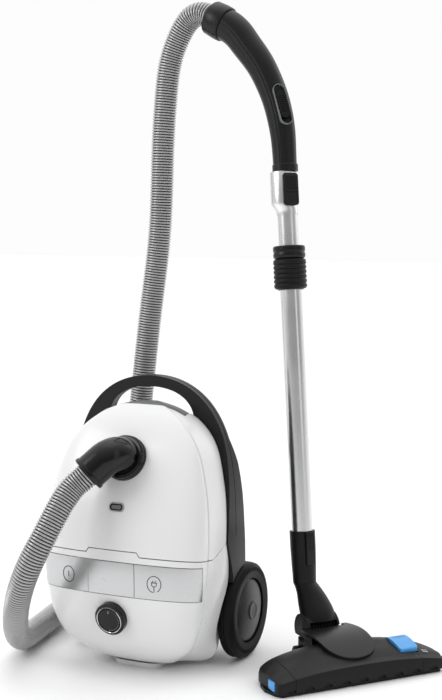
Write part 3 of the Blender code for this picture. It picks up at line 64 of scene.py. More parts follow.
def area_light(name, place, target, size, power):
    data = bpy.data.lights.new(name, "AREA")
    data.shape = "RECTANGLE"
    data.size, data.size_y = size
    data.energy = power
    lamp = bpy.data.objects.new(name, data)
    lamp.location = place
    aim = (Vector(target) - Vector(place)).to_track_quat("-Z", "Y")
    lamp.rotation_euler = aim.to_euler()
    bpy.context.scene.collection.objects.link(lamp)


def studio_world():
    """A pale studio: a bright wall behind the object, a lit ceiling, and a dimmer room in front of it."""
    world = bpy.data.worlds.new("studio")
    bpy.context.scene.world = world
    world.use_nodes = True
    tree = world.node_tree
    place = tree.nodes.new("ShaderNodeTexCoord")
    towards = tree.nodes.new("ShaderNodeVectorMath")
    towards.operation = "DOT_PRODUCT"
    towards.inputs[1].default_value = (-0.40, 0.85, 0.35)
    depth = tree.nodes.new("ShaderNodeMapRange")
    depth.interpolation_type = "SMOOTHSTEP"
    depth.inputs["From Min"].default_value = -0.35
    depth.inputs["From Max"].default_value = 0.62
    depth.inputs["To Min"].default_value = ROOM_LIGHT
    depth.inputs["To Max"].default_value = WALL_LIGHT
    tree.links.new(place.outputs["Generated"], towards.inputs[0])
    tree.links.new(towards.outputs["Value"], depth.inputs["Value"])
    upward = tree.nodes.new("ShaderNodeSeparateXYZ")
    ceiling = tree.nodes.new("ShaderNodeMapRange")
    ceiling.inputs["From Min"].default_value = 0.30
    ceiling.inputs["From Max"].default_value = 0.95
    ceiling.inputs["To Max"].default_value = CEILING_LIGHT
    both = tree.nodes.new("ShaderNodeMath")
    tree.links.new(place.outputs["Generated"], upward.inputs["Vector"])
    tree.links.new(upward.outputs["Z"], ceiling.inputs["Value"])
    tree.links.new(depth.outputs["Result"], both.inputs[0])
    tree.links.new(ceiling.outputs["Result"], both.inputs[1])
    background = tree.nodes["Background"]
    background.inputs["Color"].default_value = (1.0, 1.0, 1.0, 1)
    tree.links.new(both.outputs["Value"], background.inputs["Strength"])


ROOM_LIGHT, WALL_LIGHT, CEILING_LIGHT = 0.32, 0.98, 0.62
look()
area_light("key", (-1.9, -1.9, 1.9), (0.0, 0.0, 0.25), (1.3, 1.6), 30)
area_light("fill", (2.6, -0.6, 1.3), (0.1, 0.1, 0.45), (0.7, 2.0), 3)
area_light("top", (0.1, 0.4, 2.6), (0.1, 0.1, 0.2), (1.8, 1.8), 5)
area_light("rim", (1.4, 2.0, 1.6), (0.0, 0.0, 0.4), (0.8, 1.6), 5)
studio_world()
bpy.context.scene.view_settings.view_transform = "Standard"


# ---------------------------------------------------------------- materials
def material(name, colour, roughness, metallic=0.0, grain=None, tint=0.0, wear=0.06, round_edge=0.0,
             coat=0.0, shine=0.5):
    """A moulded or drawn surface: fine grain in its bump, and slight changes of colour and gloss."""
    made = bpy.data.materials.new(name)
    made.use_nodes = True
    made.diffuse_color = (*colour, 1.0)
    tree = made.node_tree
    shader = tree.nodes["Principled BSDF"]
    shader.inputs["Metallic"].default_value = metallic
    shader.inputs["Specular IOR Level"].default_value = shine
    if coat:
        shader.inputs["Coat Weight"].default_value = coat
        shader.inputs["Coat Roughness"].default_value = 0.08
    place = tree.nodes.new("ShaderNodeTexCoord")
    broad = tree.nodes.new("ShaderNodeTexNoise")
    broad.inputs["Scale"].default_value = 9.0
    broad.inputs["Detail"].default_value = 5.0
    tree.links.new(place.outputs["Object"], broad.inputs["Vector"])
    ramp = tree.nodes.new("ShaderNodeMapRange")
    ramp.inputs["From Min"].default_value = 0.3
    ramp.inputs["From Max"].default_value = 0.7
    ramp.inputs["To Min"].default_value = roughness - wear
    ramp.inputs["To Max"].default_value = roughness + wear
    tree.links.new(broad.outputs["Fac"], ramp.inputs["Value"])
    tree.links.new(ramp.outputs["Result"], shader.inputs["Roughness"])
    mix = tree.nodes.new("ShaderNodeMix")
    mix.data_type = "RGBA"
    mix.inputs["A"].default_value = (*[c * (1 - tint) for c in colour], 1)
    mix.inputs["B"].default_value = (*[min(c * (1 + tint), 1.0) for c in colour], 1)
    tree.links.new(broad.outputs["Fac"], mix.inputs["Factor"])
    tree.links.new(mix.outputs["Result"], shader.inputs["Base Color"])
    normal = None
    if round_edge:
        bevel = tree.nodes.new("ShaderNodeBevel")
        bevel.samples = 4
        bevel.inputs["Radius"].default_value = round_edge
        normal = bevel.outputs["Normal"]
    if grain:
        scale, strength = grain
        fine = tree.nodes.new("ShaderNodeTexNoise")
        fine.inputs["Scale"].default_value = scale
        fine.inputs["Detail"].default_value = 2.0
        tree.links.new(place.outputs["Object"], fine.inputs["Vector"])
        bump = tree.nodes.new("ShaderNodeBump")
        bump.inputs["Strength"].default_value = strength
        bump.inputs["Distance"].default_value = 0.0002
        tree.links.new(fine.outputs["Fac"], bump.inputs["Height"])
        if normal:
            tree.links.new(normal, bump.inputs["Normal"])
        normal = bump.outputs["Normal"]
    if normal:
        tree.links.new(normal, shader.inputs["Normal"])
    return made


def brushed(name, colour, roughness):
    """Drawn aluminium: fine lines along the tube, which is nearly upright."""
    made = material(name, colour, roughness, 1.0, None, 0.03, 0.05)
    tree = made.node_tree
    shader = tree.nodes["Principled BSDF"]
    place = tree.nodes.new("ShaderNodeTexCoord")
    stretch = tree.nodes.new("ShaderNodeMapping")
    stretch.inputs["Scale"].default_value = (900, 900, 12)
    lines = tree.nodes.new("ShaderNodeTexNoise")
    lines.inputs["Scale"].default_value = 1.0
    bump = tree.nodes.new("ShaderNodeBump")
    bump.inputs["Strength"].default_value = 0.12
    bump.inputs["Distance"].default_value = 0.0001
    tree.links.new(place.outputs["Object"], stretch.inputs["Vector"])
    tree.links.new(stretch.outputs["Vector"], lines.inputs["Vector"])
    tree.links.new(lines.outputs["Fac"], bump.inputs["Height"])
    tree.links.new(bump.outputs["Normal"], shader.inputs["Normal"])
    return made


def paint_groove_shade(made, painted_shade):
    """Paints shade into a material's colour where the mesh's own groove attribute says so: painted shade in
    the grooves.
    """
    tree = made.node_tree
    shader = tree.nodes["Principled BSDF"]
    before = shader.inputs["Base Color"].links[0].from_socket
    groove = tree.nodes.new("ShaderNodeAttribute")
    groove.attribute_name = "groove"
    mix = tree.nodes.new("ShaderNodeMix")
    mix.data_type = "RGBA"
    mix.inputs["B"].default_value = (*painted_shade, 1)
    tree.links.new(groove.outputs["Fac"], mix.inputs["Factor"])
    tree.links.new(before, mix.inputs["A"])
    tree.links.new(mix.outputs["Result"], shader.inputs["Base Color"])


WHITE = material("white_shell", (0.80, 0.80, 0.802), 0.26, 0, (1400, 0.03), 0.003, 0.012, 0.0007, 0.15)
CHARCOAL = material("charcoal_grain", (0.0085, 0.0088, 0.0092), 0.46, 0, (2600, 0.35), 0.14, 0.06, 0.0006,
                    0, 0.22)
CHARCOAL_SOFT = material("charcoal_satin", (0.0065, 0.0067, 0.0070), 0.34, 0, (1800, 0.12), 0.12, 0.05,
                         0.0007, 0, 0.26)
HUB = material("hub_grey", (0.020, 0.0205, 0.0212), 0.40, 0, (2200, 0.25), 0.10, 0.05, 0.0006, 0, 0.35)
BLACK = material("gloss_black", (0.0028, 0.0028, 0.0032), 0.20, 0, (700, 0.04), 0.12, 0.05, 0.0006, 0, 0.34)
RUBBER = material("black_rubber", (0.0045, 0.0045, 0.005), 0.52, 0, (1500, 0.30), 0.18, 0.08, 0.0005, 0, 0.22)
TYRE = material("tyre_rubber", (0.0034, 0.0034, 0.0038), 0.55, 0, (1100, 0.30), 0.18, 0.10, 0, 0, 0.16)
SILVER = material("silver_paint", (0.56, 0.565, 0.57), 0.30, 0.85, (3500, 0.10), 0.03, 0.04, 0.0005, 0.1)
INK = material("grey_print", (0.040, 0.041, 0.043), 0.45, 0, (2000, 0.1), 0.08)
CHROME = material("polished_chrome", (0.78, 0.78, 0.79), 0.10, 1.0, None, 0.02, 0.03)
ALUMINIUM = brushed("drawn_aluminium", (0.74, 0.74, 0.75), 0.27)
GREY = material("grey_plastic", (0.15, 0.155, 0.16), 0.40, 0, (2200, 0.2), 0.08, 0.05, 0.0005)
PALE_GREY = material("pale_grey_plastic", (0.38, 0.385, 0.39), 0.36, 0, (2200, 0.15), 0.06, 0.05, 0.0005)
BLUE = material("blue_plastic", (0.055, 0.32, 0.72), 0.30, 0, (1500, 0.1), 0.08, 0.05, 0.0006, 0.2)
HOSE = material("hose_vinyl", (0.42, 0.42, 0.419), 0.28, 0.40, (900, 0.12), 0.10, 0.06, 0, 0.2)
# painted shade: the hose's colour is darkened in its grooves, where shade would fall
paint_groove_shade(HOSE, (0.055, 0.055, 0.055))
FLEECE = material("filter_fleece", (0.74, 0.73, 0.69), 0.92, 0, (600, 0.9), 0.08)
STEEL = material("motor_steel", (0.5, 0.5, 0.5), 0.35, 1.0, (1200, 0.1), 0.05)
BOARD = material("circuit_board", (0.04, 0.20, 0.08), 0.45, 0, (900, 0.2), 0.15)
BRISTLE = material("bristle", (0.02, 0.02, 0.022), 0.7, 0, (3000, 0.4), 0.2)


# ---------------------------------------------------------------- mesh helpers
def link(name, mesh, mat=None, sharp=35):
    obj = bpy.data.objects.new(name, mesh)
    bpy.context.scene.collection.objects.link(obj)
    if mat:
        mesh.materials.clear()
        mesh.materials.append(mat)
        mesh.shade_smooth()
        mesh.set_sharp_from_angle(angle=math.radians(sharp))
    return obj


def mesh_of(bm):
    bmesh.ops.recalc_face_normals(bm, faces=bm.faces)
    mesh = bpy.data.meshes.new("mesh")
    bm.to_mesh(mesh)
    bm.free()
    return mesh


def loft(rings, triangles=False):
    bm = bmesh.new()
    rows = [[bm.verts.new(point) for point in ring] for ring in rings]
    for row, above in zip(rows, rows[1:]):
        for k in range(len(row)):
            after = (k + 1) % len(row)
            bm.faces.new((row[k], row[after], above[after], above[k]))
    bm.faces.new(rows[0])
    bm.faces.new(rows[-1])
    if triangles:
        bmesh.ops.triangulate(bm, faces=bm.faces)
    return mesh_of(bm)


def prism(outline, axis, low, high):
    """A flat outline pushed along X, Y or Z. Its points are in the other two axes, in order."""
    others = [k for k in range(3) if k != axis]
    rings = []
    for level in (low, high):
        ring = []
        for point in outline:
            co = [0.0, 0.0, 0.0]
            co[axis] = level
            co[others[0]], co[others[1]] = point
            ring.append(co)
        rings.append(ring)
    return loft(rings)


def box(low, high, width=0.0, segments=2):
    bm = bmesh.new()
    bmesh.ops.create_cube(bm, size=1.0)
    for vert in bm.verts:
        vert.co = Vector([low[k] + (vert.co[k] + 0.5) * (high[k] - low[k]) for k in range(3)])
    if width:
        bmesh.ops.bevel(bm, geom=bm.edges[:], offset=width, segments=segments, affect="EDGES", profile=0.5)
    return mesh_of(bm)


def axis_matrix(start, direction, x_hint=None):
    """A frame at start whose Z runs along direction, with X as near x_hint as it can be."""
    z = Vector(direction).normalized()
    if x_hint is None:
        turn = z.to_track_quat("Z", "Y").to_matrix()
    else:
        y = z.cross(Vector(x_hint)).normalized()
        turn = Matrix((y.cross(z), y, z)).transposed()
    return Matrix.Translation(Vector(start)) @ turn.to_4x4()


def cylinder(start, end, radius, sides=64):
    start, end = Vector(start), Vector(end)
    bm = bmesh.new()
    place = axis_matrix((start + end) / 2, end - start)
    depth = (end - start).length
    bmesh.ops.create_cone(
        bm, cap_ends=True, segments=sides, radius1=radius, radius2=radius, depth=depth, matrix=place
    )
    return mesh_of(bm)


def rounded(profile, radius, steps=3):
    """The profile with its inner corners rounded off, each by a short quadratic curve."""
    points = [np.array(p, float) for p in profile]
    result = [points[0]]
    for before, here, after in zip(points, points[1:], points[2:]):
        one, two = before - here, after - here
        reach = min(radius, np.linalg.norm(one) * 0.45, np.linalg.norm(two) * 0.45)
        start = here + one / max(np.linalg.norm(one), 1e-9) * reach
        end = here + two / max(np.linalg.norm(two), 1e-9) * reach
        for k in range(steps + 1):
            t = k / steps
            result.append((1 - t) ** 2 * start + 2 * t * (1 - t) * here + t**2 * end)
    result.append(points[-1])
    return result


def lathe(name, profile, mat, matrix=None, sides=96, closed=False, soft=0.0, sharp=35):
    """A profile of (radius, height) points turned about Z. An open one starts and ends on the axis."""
    points = [tuple(p) for p in (rounded(profile, soft) if soft else profile)]
    bm = bmesh.new()
    rows = []
    for radius, height in points:
        if radius < 1e-6:
            rows.append([bm.verts.new((0, 0, height))] * sides)
            continue
        ring = []
        for k in range(sides):
            angle = 2 * math.pi * k / sides
            ring.append(bm.verts.new((radius * math.cos(angle), radius * math.sin(angle), height)))
        rows.append(ring)
    pairs = list(zip(rows, rows[1:]))
    if closed:
        pairs.append((rows[-1], rows[0]))
    for row, below in pairs:
        for k in range(sides):
            after = (k + 1) % sides
            corners = []
            for vert in (row[k], row[after], below[after], below[k]):
                if vert not in corners:
                    corners.append(vert)
            if len(corners) > 2:
                bm.faces.new(corners)
    obj = link(name, mesh_of(bm), mat, sharp)
    if matrix is not None:
        obj.data.transform(matrix)
    return obj


def cut(obj, mesh, operation="DIFFERENCE", careful=False):
    """Applies one Boolean with this mesh to the object. A careful one also resolves each mesh with itself."""
    other = mesh if isinstance(mesh, bpy.types.Object) else link("cutter", mesh)
    modifier = obj.modifiers.new("cut", "BOOLEAN")
    modifier.operation = operation
    modifier.object = other
    modifier.solver = "EXACT"
    modifier.use_self = careful
    bpy.context.view_layer.update()
    graph = bpy.context.evaluated_depsgraph_get()
    result = bpy.data.meshes.new_from_object(obj.evaluated_get(graph))
    obj.modifiers.clear()
    obj.data = result
    if other is not mesh:
        bpy.data.objects.remove(other, do_unlink=True)
    return obj


def placed(obj, matrix):
    obj.data.transform(matrix)
    return obj


def finish_piece(obj, body, mat, replaced=(), sharp=35):
    mesh = obj.data
    mesh.materials.clear()
    mesh.materials.append(mat)
    for polygon in mesh.polygons:
        polygon.material_index = 0
    mesh.shade_smooth()
    mesh.set_sharp_from_angle(angle=math.radians(sharp))
    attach(obj, body)
    if replaced:
        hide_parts(*replaced)
    return obj


def dress(name, mat):
    """A better material on a CAD node whose shape stays."""
    obj = nodes[name]
    obj.data.materials.clear()
    obj.data.materials.append(mat)
    obj.data.shade_smooth()
    obj.data.set_sharp_from_angle(angle=math.radians(32))


def smooth_line(points, count):
    """Evenly spaced points on one smooth curve through the given points."""
    knots = np.array(points, dtype=float)
    chord = np.linalg.norm(np.diff(knots, axis=0), axis=1)
    at = np.concatenate([[0.0], np.cumsum(np.sqrt(chord))])
    size = len(knots)
    step = np.diff(at)
    system = np.eye(size)
    right = np.zeros_like(knots)
    for k in range(1, size - 1):
        system[k, k - 1 : k + 2] = step[k - 1], 2 * (step[k - 1] + step[k]), step[k]
        rise = (knots[k + 1] - knots[k]) / step[k]
        right[k] = 6 * (rise - (knots[k] - knots[k - 1]) / step[k - 1])
    bend = np.linalg.solve(system, right)
    dense = []
    for t in np.linspace(0, at[-1], 60 * size):
        k = int(np.clip(np.searchsorted(at, t) - 1, 0, size - 2))
        a, b, h = at[k + 1] - t, t - at[k], step[k]
        curved = (a**3 / h - h * a) * bend[k] + (b**3 / h - h * b) * bend[k + 1]
        dense.append(curved / 6 + (a * knots[k] + b * knots[k + 1]) / h)
    dense = np.array(dense)
    run = np.concatenate([[0.0], np.cumsum(np.linalg.norm(np.diff(dense, axis=0), axis=1))])
    wanted = np.linspace(0, run[-1], count)
    return np.stack([np.interp(wanted, run, dense[:, k]) for k in range(knots.shape[1])], axis=1)


# ---------------------------------------------------------------- hose
HOSE_ROUTE = [
    (-0.0300, -0.1030, 0.2940),
    (-0.0351, -0.1068, 0.2885),
    (-0.0446, -0.1142, 0.2784),
    (-0.0535, -0.1270, 0.2615),
    (-0.0615, -0.1420, 0.2380),
    (-0.0710, -0.1560, 0.2100),
    (-0.0830, -0.1650, 0.1815),
    (-0.0970, -0.1660, 0.1510),
    (-0.1150, -0.1530, 0.1180),
    (-0.1350, -0.1290, 0.0860),
    (-0.1540, -0.1000, 0.0570),
    (-0.1700, -0.0680, 0.0340),
    (-0.1810, -0.0350, 0.0220),
    (-0.1890, 0.0050, 0.0200),
    (-0.1970, 0.0500, 0.0200),
    (-0.2040, 0.0950, 0.0210),
    (-0.2000, 0.1380, 0.0290),
    (-0.1870, 0.1690, 0.0500),
    (-0.1670, 0.1890, 0.0860),
    (-0.1470, 0.1950, 0.1360),
    (-0.1310, 0.1950, 0.1950),
    (-0.1180, 0.1930, 0.2600),
    (-0.1060, 0.1900, 0.3300),
    (-0.0960, 0.1890, 0.4060),
    (-0.0835, 0.1930, 0.5170),
    (-0.0715, 0.1980, 0.6280),
    (-0.0670, 0.2005, 0.7520),
    (-0.0625, 0.2025, 0.8300),
    (-0.0545, 0.2050, 0.8900),
    (-0.0420, 0.2065, 0.9230),
    (-0.0340, 0.2065, 0.9370),
    (-0.0255, 0.2065, 0.9480),
    (-0.0170, 0.2059, 0.9545),
    (-0.0060, 0.2052, 0.9578),
    (0.0060, 0.2045, 0.9562),
    (0.0165, 0.2038, 0.9521),
]
STRETCH_ENDS = (0.0, 0.165, 0.33, 0.49, 0.65, 1.0)
STRETCHES = (
    ("hose_a", "elbow", "lid"),
    ("hose_b", "lid", "base"),
    ("hose_c", "base", "neck"),
    ("hose_d", "neck", "lower_wand"),
    ("hose_e", "lower_wand", "upper_wand"),
)
HOSE_RADIUS = 0.0183
RIB_PITCH = 0.0042
GROOVE_DEPTH = 0.0020
RIB_PROFILE = ((0.0, -0.0024), (0.16, -0.0020), (0.30, -0.0003), (0.42, 0.0), (0.70, 0.0), (0.84, -0.0004))


def make_hose():
    """The corrugated hose: ring-shaped ribs along one smooth line, in five stretches."""
    fine = smooth_line(HOSE_ROUTE, 1201)
    seg = np.linalg.norm(np.diff(fine, axis=0), axis=1)
    run = np.concatenate([[0.0], np.cumsum(seg)])
    length = run[-1]
    tangent = np.gradient(fine, axis=0)
    tangent /= np.linalg.norm(tangent, axis=1)[:, None]
    # a frame carried along the line without twist
    sides = np.zeros_like(fine)
    side = np.cross(tangent[0], (0, 0, 1.0))
    for k in range(len(fine)):
        side = side - tangent[k] * np.dot(side, tangent[k])
        side /= np.linalg.norm(side)
        sides[k] = side
    ribs = round(length / RIB_PITCH)
    pitch = length / ribs
    around = 28
    angles = np.linspace(0, 2 * math.pi, around, endpoint=False)

    def at(values, s):
        return np.array([np.interp(s, run, values[:, k]) for k in range(3)])

    for (name, first, second), low, high in zip(STRETCHES, STRETCH_ENDS, STRETCH_ENDS[1:]):
        start, end = round(low * ribs) * pitch, round(high * ribs) * pitch
        rings = []
        for rib in range(round(low * ribs), round(high * ribs)):
            for share, depth in RIB_PROFILE:
                rings.append(((rib + share) * pitch, HOSE_RADIUS + depth))
        rings.append((end, HOSE_RADIUS + RIB_PROFILE[0][1]))
        points = []
        for s, radius in rings:
            centre, along, side = at(fine, s), at(tangent, s), at(sides, s)
            along /= np.linalg.norm(along)
            side -= along * np.dot(side, along)
            side /= np.linalg.norm(side)
            other = np.cross(along, side)
            points.append(
                centre + radius * (np.cos(angles)[:, None] * side + np.sin(angles)[:, None] * other)
            )
        points = np.array(points)
        verts = points.reshape(-1, 3)
        faces = []
        for row in range(len(rings) - 1):
            for k in range(around):
                after = (k + 1) % around
                one, two = row * around, (row + 1) * around
                faces.append((one + k, one + after, two + after, two + k))
        faces.append(tuple(range(around))[::-1])
        faces.append(tuple(range((len(rings) - 1) * around, len(rings) * around)))
        mesh = bpy.data.meshes.new(name + "_mesh")
        mesh.from_pydata([tuple(v) for v in verts], [], faces)
        # how deep each ring sits in a groove, which sets how much painted shade it gets
        depths = np.repeat([HOSE_RADIUS - radius for _, radius in rings], around)
        groove = mesh.attributes.new("groove", "FLOAT", "POINT")
        groove.data.foreach_set("value", np.clip(depths / GROOVE_DEPTH, 0.0, 1.0).astype(np.float32))
        tube = link(name + "_ribs", mesh, HOSE, 50)
        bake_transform(tube)
        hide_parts(name)


make_hose()


# ---------------------------------------------------------------- canister
SECTIONS = (
    (0.0045, 0.080, 0.050, 0.004, -0.005),
    (0.0100, 0.096, 0.060, -0.008, -0.028),
    (0.0200, 0.107, 0.074, -0.018, -0.047),
    (0.0350, 0.1120, 0.0930, -0.030, -0.0640),
    (0.0550, 0.1150, 0.1075, -0.041, -0.0780),
    (0.0850, 0.1205, 0.1180, -0.048, -0.0881),
    (0.1150, 0.1250, 0.1240, -0.050, -0.0922),
    (0.1500, 0.1285, 0.1275, -0.050, -0.0930),
    (0.1850, 0.1290, 0.1290, -0.048, -0.0890),
    (0.2200, 0.1280, 0.1275, -0.044, -0.0816),
    (0.2550, 0.1250, 0.1235, -0.039, -0.0716),
    (0.2900, 0.1190, 0.1155, -0.033, -0.0580),
    (0.3200, 0.1110, 0.1050, -0.027, -0.0433),
    (0.3420, 0.0985, 0.0905, -0.0205, -0.0300),
    (0.3580, 0.0830, 0.0740, -0.013, -0.0179),
    (0.3700, 0.0640, 0.0560, -0.004, -0.0065),
    (0.3790, 0.0410, 0.0350, 0.007, 0.0052),
    (0.3845, 0.0150, 0.0120, 0.016, 0.0155),
)
ROWS = smooth_line(SECTIONS, 84)
LOW_Z, HIGH_Z = ROWS[0, 0], ROWS[-1, 0]
MIDDLE_Y = 0.020
POWER = 2.5
WALL = 0.0025
SPLIT_LINE = ((0.0306, 0.1334), (0.0122, 0.187), (0.0300, 0.340))
WHEEL_Y, WHEEL_Z, WHEEL_RADIUS = 0.0820, 0.0715, 0.0705
WELL_X, WELL_RADIUS = 0.1095, 0.0735
LID_CORNER = (0.0122, 0.189)
BUTTON_TURN = math.radians(35.6)
DIAL_Z, INLET_Z, INDICATOR_Z = 0.0905, 0.310, 0.245


def section(z):
    return [float(np.interp(z, ROWS[:, 0], ROWS[:, k])) for k in range(1, 5)]


def face_point(x, z, out=0.0):
    """The point of the casing's front face at this x and z, moved out along -Y."""
    _, crease_x, crease_y, front_y = section(z)
    share = min(abs(x) / crease_x, 1.0)
    y = crease_y + (front_y - crease_y) * (1 - share**POWER) ** (1 / POWER)
    return Vector((x, y - out, z))


def on_face(z):
    step = 0.012
    here = Vector((0, section(z)[3], z))
    along = Vector((0, section(z + step)[3] - section(z - step)[3], 2 * step)).normalized()
    return here, Vector((0, -along.z, along.y))


def skin(inset=0.0, steps=26):
    middle = (HIGH_Z + LOW_Z) / 2
    shrink = 1 - inset / ((HIGH_Z - LOW_Z) / 2)
    rings = []
    for z, split_x, crease_x, crease_y, front_y in ROWS:
        step = 0.0022 * min(crease_x, 0.09) / 0.09
        start, crease = (0.0, front_y + inset), (crease_x - inset, crease_y + inset * 0.6)
        edge = split_x - inset
        half = []
        for k in range(steps + 1):
            angle = math.pi / 2 * k / steps
            x = crease[0] * max(math.sin(angle), 0) ** (2 / POWER)
            y = crease[1] + (start[1] - crease[1]) * max(math.cos(angle), 0) ** (2 / POWER)
            half.append((x, y))
        half.append((crease[0] - step * 0.5, crease[1] + 0.0004))
        half.append((crease[0] - step * 1.2, crease[1] + 0.0022))
        half.append((crease[0] - step * 1.0, crease[1] + 0.0034))
        side_y = max(MIDDLE_Y, crease[1] + 0.006)
        half.append((crease[0] + step * 0.1, crease[1] + 0.0044))
        for share in (0.3, 0.65, 1.0):
            bulge = 0.0015 * math.sin(math.pi * share)
            half.append(
                (
                    crease[0] + (edge - crease[0]) * share + bulge,
                    crease[1] + 0.0044 + (side_y - crease[1] - 0.0044) * share,
                )
            )
        half.append((edge * 0.8, MIDDLE_Y + 0.8 * split_x))
        back = (0.0, MIDDLE_Y + 0.9 * split_x)
        ring = half + [back] + [(-x, y) for x, y in reversed(half[1:])]
        rings.append([(x, y, middle + (z - middle) * shrink) for x, y in ring])
    return loft(rings, True)


def pan_width(z):
    if z >= 0.150:
        return 0.1235 * max(1 - ((z - 0.150) / 0.202) ** 3.4, 0.0) ** (1 / 2.3)
    return 0.1235 * max(1 - ((0.150 - z) / (0.150 - LOW_Z)) ** 3.4, 0.0) ** (1 / 3.4)


def pan_skin(inset=0.0, levels=44, sides=84):
    middle, half_height = (0.352 + LOW_Z) / 2, (0.352 - LOW_Z) / 2
    rings = []
    for level in range(levels):
        z = middle - math.cos(math.pi * (0.04 + 0.92 * level / (levels - 1))) * half_height
        width = pan_width(z) * (1 - inset / 0.1235)
        depth = pan_width(z) * (0.112 - inset) / 0.1235
        ring = []
        for side in range(sides):
            angle = 2 * math.pi * (side + 0.5) / sides
            cos, sin = math.cos(angle), math.sin(angle)
            x = width * math.copysign(abs(cos) ** (2 / 3.2), cos)
            y = MIDDLE_Y + depth * math.copysign(abs(sin) ** (2 / 3.2), sin)
            ring.append((x, y, middle + (z - middle) * (1 - inset / half_height)))
        rings.append(ring)
    return loft(rings, True)


def split_outline(shift, front):
    line = [(y + shift, z) for y, z in SPLIT_LINE]
    line = [(line[0][0], -0.05)] + line + [(line[-1][0], 0.50)]
    far = -0.2 if front else 0.3
    return line + [(far, 0.50), (far, -0.05)]


def across(z_middle, slope, y):
    return z_middle + slope * (y + 0.090)


def lid_outline(drop):
    return [
        (-0.2, across(0.1810, -0.12, -0.2) - drop),
        (-0.032, across(0.1810, -0.12, -0.032) - drop),
        (LID_CORNER[0], LID_CORNER[1] - drop),
        (0.1, LID_CORNER[1] - drop),
    ]


def step_outline(gap):
    """The tongue that steps up into the lid's lower edge, with sloping ends."""
    top = 0.1870 - gap
    low = top - 0.012
    return [(-0.0475 + gap, low), (0.0475 - gap, low), (0.0385 - gap / 2, top), (-0.0385 + gap / 2, top)]


def wells(obj, radius=WELL_RADIUS, from_x=WELL_X):
    for side in (-1, 1):
        cut(obj, cylinder((side * from_x, WHEEL_Y, WHEEL_Z), (side * 0.2, WHEEL_Y, WHEEL_Z), radius, 96))


PANEL_END = 0.1205


def panel_region(low_x, high_x, margin):
    lean = math.tan(BUTTON_TURN)
    inner_y = -0.02 if max(-low_x, high_x) > 0.1 else -0.05
    rings = []
    for z_middle in (0.1235 + margin, 0.1705 - margin):
        ring = []
        for x, y in ((low_x, -0.2), (high_x, -0.2), (high_x, inner_y), (low_x, inner_y)):
            y_edge = -0.090 if abs(x) < 0.1 else -0.052
            sign = math.copysign(1.0, x)
            shifted = x + sign * (-margin - lean * (y - y_edge))
            ring.append((shifted, y, across(z_middle, -0.11, y)))
        rings.append(ring)
    return loft(rings)


def make_casing():
    inside = link("inside", skin(WALL))
    wells(inside, WELL_RADIUS + WALL, WELL_X - WALL)
    shell = link("shell", skin())
    cut(shell, inside)
    cut(shell, prism(split_outline(-0.0005, True), 0, -0.2, 0.2), "INTERSECT")
    lid = link("lid_shell", shell.data.copy())
    region = link("region", prism(lid_outline(0.0) + [(0.1, 0.45), (-0.2, 0.45)], 0, -0.2, 0.2))
    cut(region, prism(step_outline(0.0), 1, -0.2, -0.04))
    cut(lid, region, "INTERSECT")
    at, out = on_face(INLET_Z)
    cut(lid, cylinder(at - out * 0.03, at + out * 0.03, 0.0245, 96))
    window = rounded_rectangle(0.0121, 0.0063, 0.0055, 8)
    hole = prism(window, 2, -0.014, 0.012)
    hole.transform(axis_matrix(*on_face(INDICATOR_Z)))
    cut(lid, hole)
    cut(lid, box((-0.0665, 0.0075, 0.34), (0.0665, 0.1, 0.42)))
    finish_piece(lid, "lid", WHITE, ("lid",), 28)

    body = shell
    body.name = "body_shell"
    region_low = link("region_low", prism(lid_outline(0.0012) + [(0.1, -0.05), (-0.2, -0.05)], 0, -0.2, 0.2))
    cut(region_low, prism(step_outline(0.0012), 1, -0.2, -0.04), "UNION")
    cut(body, region_low, "INTERSECT")
    wells(body)
    cut(body, panel_region(-PANEL_END, PANEL_END, -0.0008))
    at, out = on_face(DIAL_Z)
    cut(body, cylinder(at - out * 0.02, at + out * 0.02, 0.0070, 32))
    finish_piece(body, "base", WHITE, ("body_front",), 28)
    for helper in (region, region_low):
        bpy.data.objects.remove(helper, do_unlink=True)

    pan = link("pan_shell", pan_skin())
    inner = link("pan_inner", pan_skin(WALL, 30, 60))
    wells(inner, WELL_RADIUS + WALL, WELL_X - WALL)
    cut(pan, inner)
    cut(pan, prism(split_outline(0.0003, False), 0, -0.2, 0.2), "INTERSECT")
    wells(pan)
    for side in (-1, 1):
        place = ((side * 0.094, WHEEL_Y, WHEEL_Z), (side * 0.1105, WHEEL_Y, WHEEL_Z))
        cut(pan, cylinder(*place, 0.011, 40), "UNION")
        cut(pan, cylinder(place[0], (side * 0.1330, WHEEL_Y, WHEEL_Z), 0.005, 24), "UNION")
    cut(pan, cylinder((0, 0.100, 0.285), (0, 0.1235, 0.285), 0.018, 48), "UNION")
    cut(pan, box((-0.0353, 0.12, 0.1247), (0.0353, 0.14, 0.1753)))
    cut(pan, cylinder((0, 0.09, 0.060), (0, 0.14, 0.060), 0.0095, 32))
    finish_piece(pan, "base", CHARCOAL, ("base_pan",), 30)
    for helper in (inner, inside):
        bpy.data.objects.remove(helper, do_unlink=True)


def rounded_rectangle(half_a, half_b, radius, steps=6):
    points = []
    for a, b, turn in ((1, 1, 0), (-1, 1, 90), (-1, -1, 180), (1, -1, 270)):
        for k in range(steps + 1):
            angle = math.radians(turn + 90 * k / steps)
            points.append(
                (
                    a * (half_a - radius) + radius * math.cos(angle),
                    b * (half_b - radius) + radius * math.sin(angle),
                )
            )
    return points


def arch(half_width, low_z, waist_z, top_z, powers, count):
    right = [(half_width, low_z)] if low_z < waist_z else []
    for k in range(count):
        z = waist_z + (top_z - waist_z) * math.sin(math.pi / 2 * k / count)
        t = (z - waist_z) / (top_z - waist_z)
        right.append((half_width * (1 - t ** powers[0]) ** (1 / powers[1]), z))
    return right + [(0.0, top_z)] + [(-x, z) for x, z in reversed(right)]


ARCH_BACK = ((0.0750, 0.112), (0.0730, 0.178), (0.0664, 0.252), (0.0600, 0.296), (0.0480, 0.332))


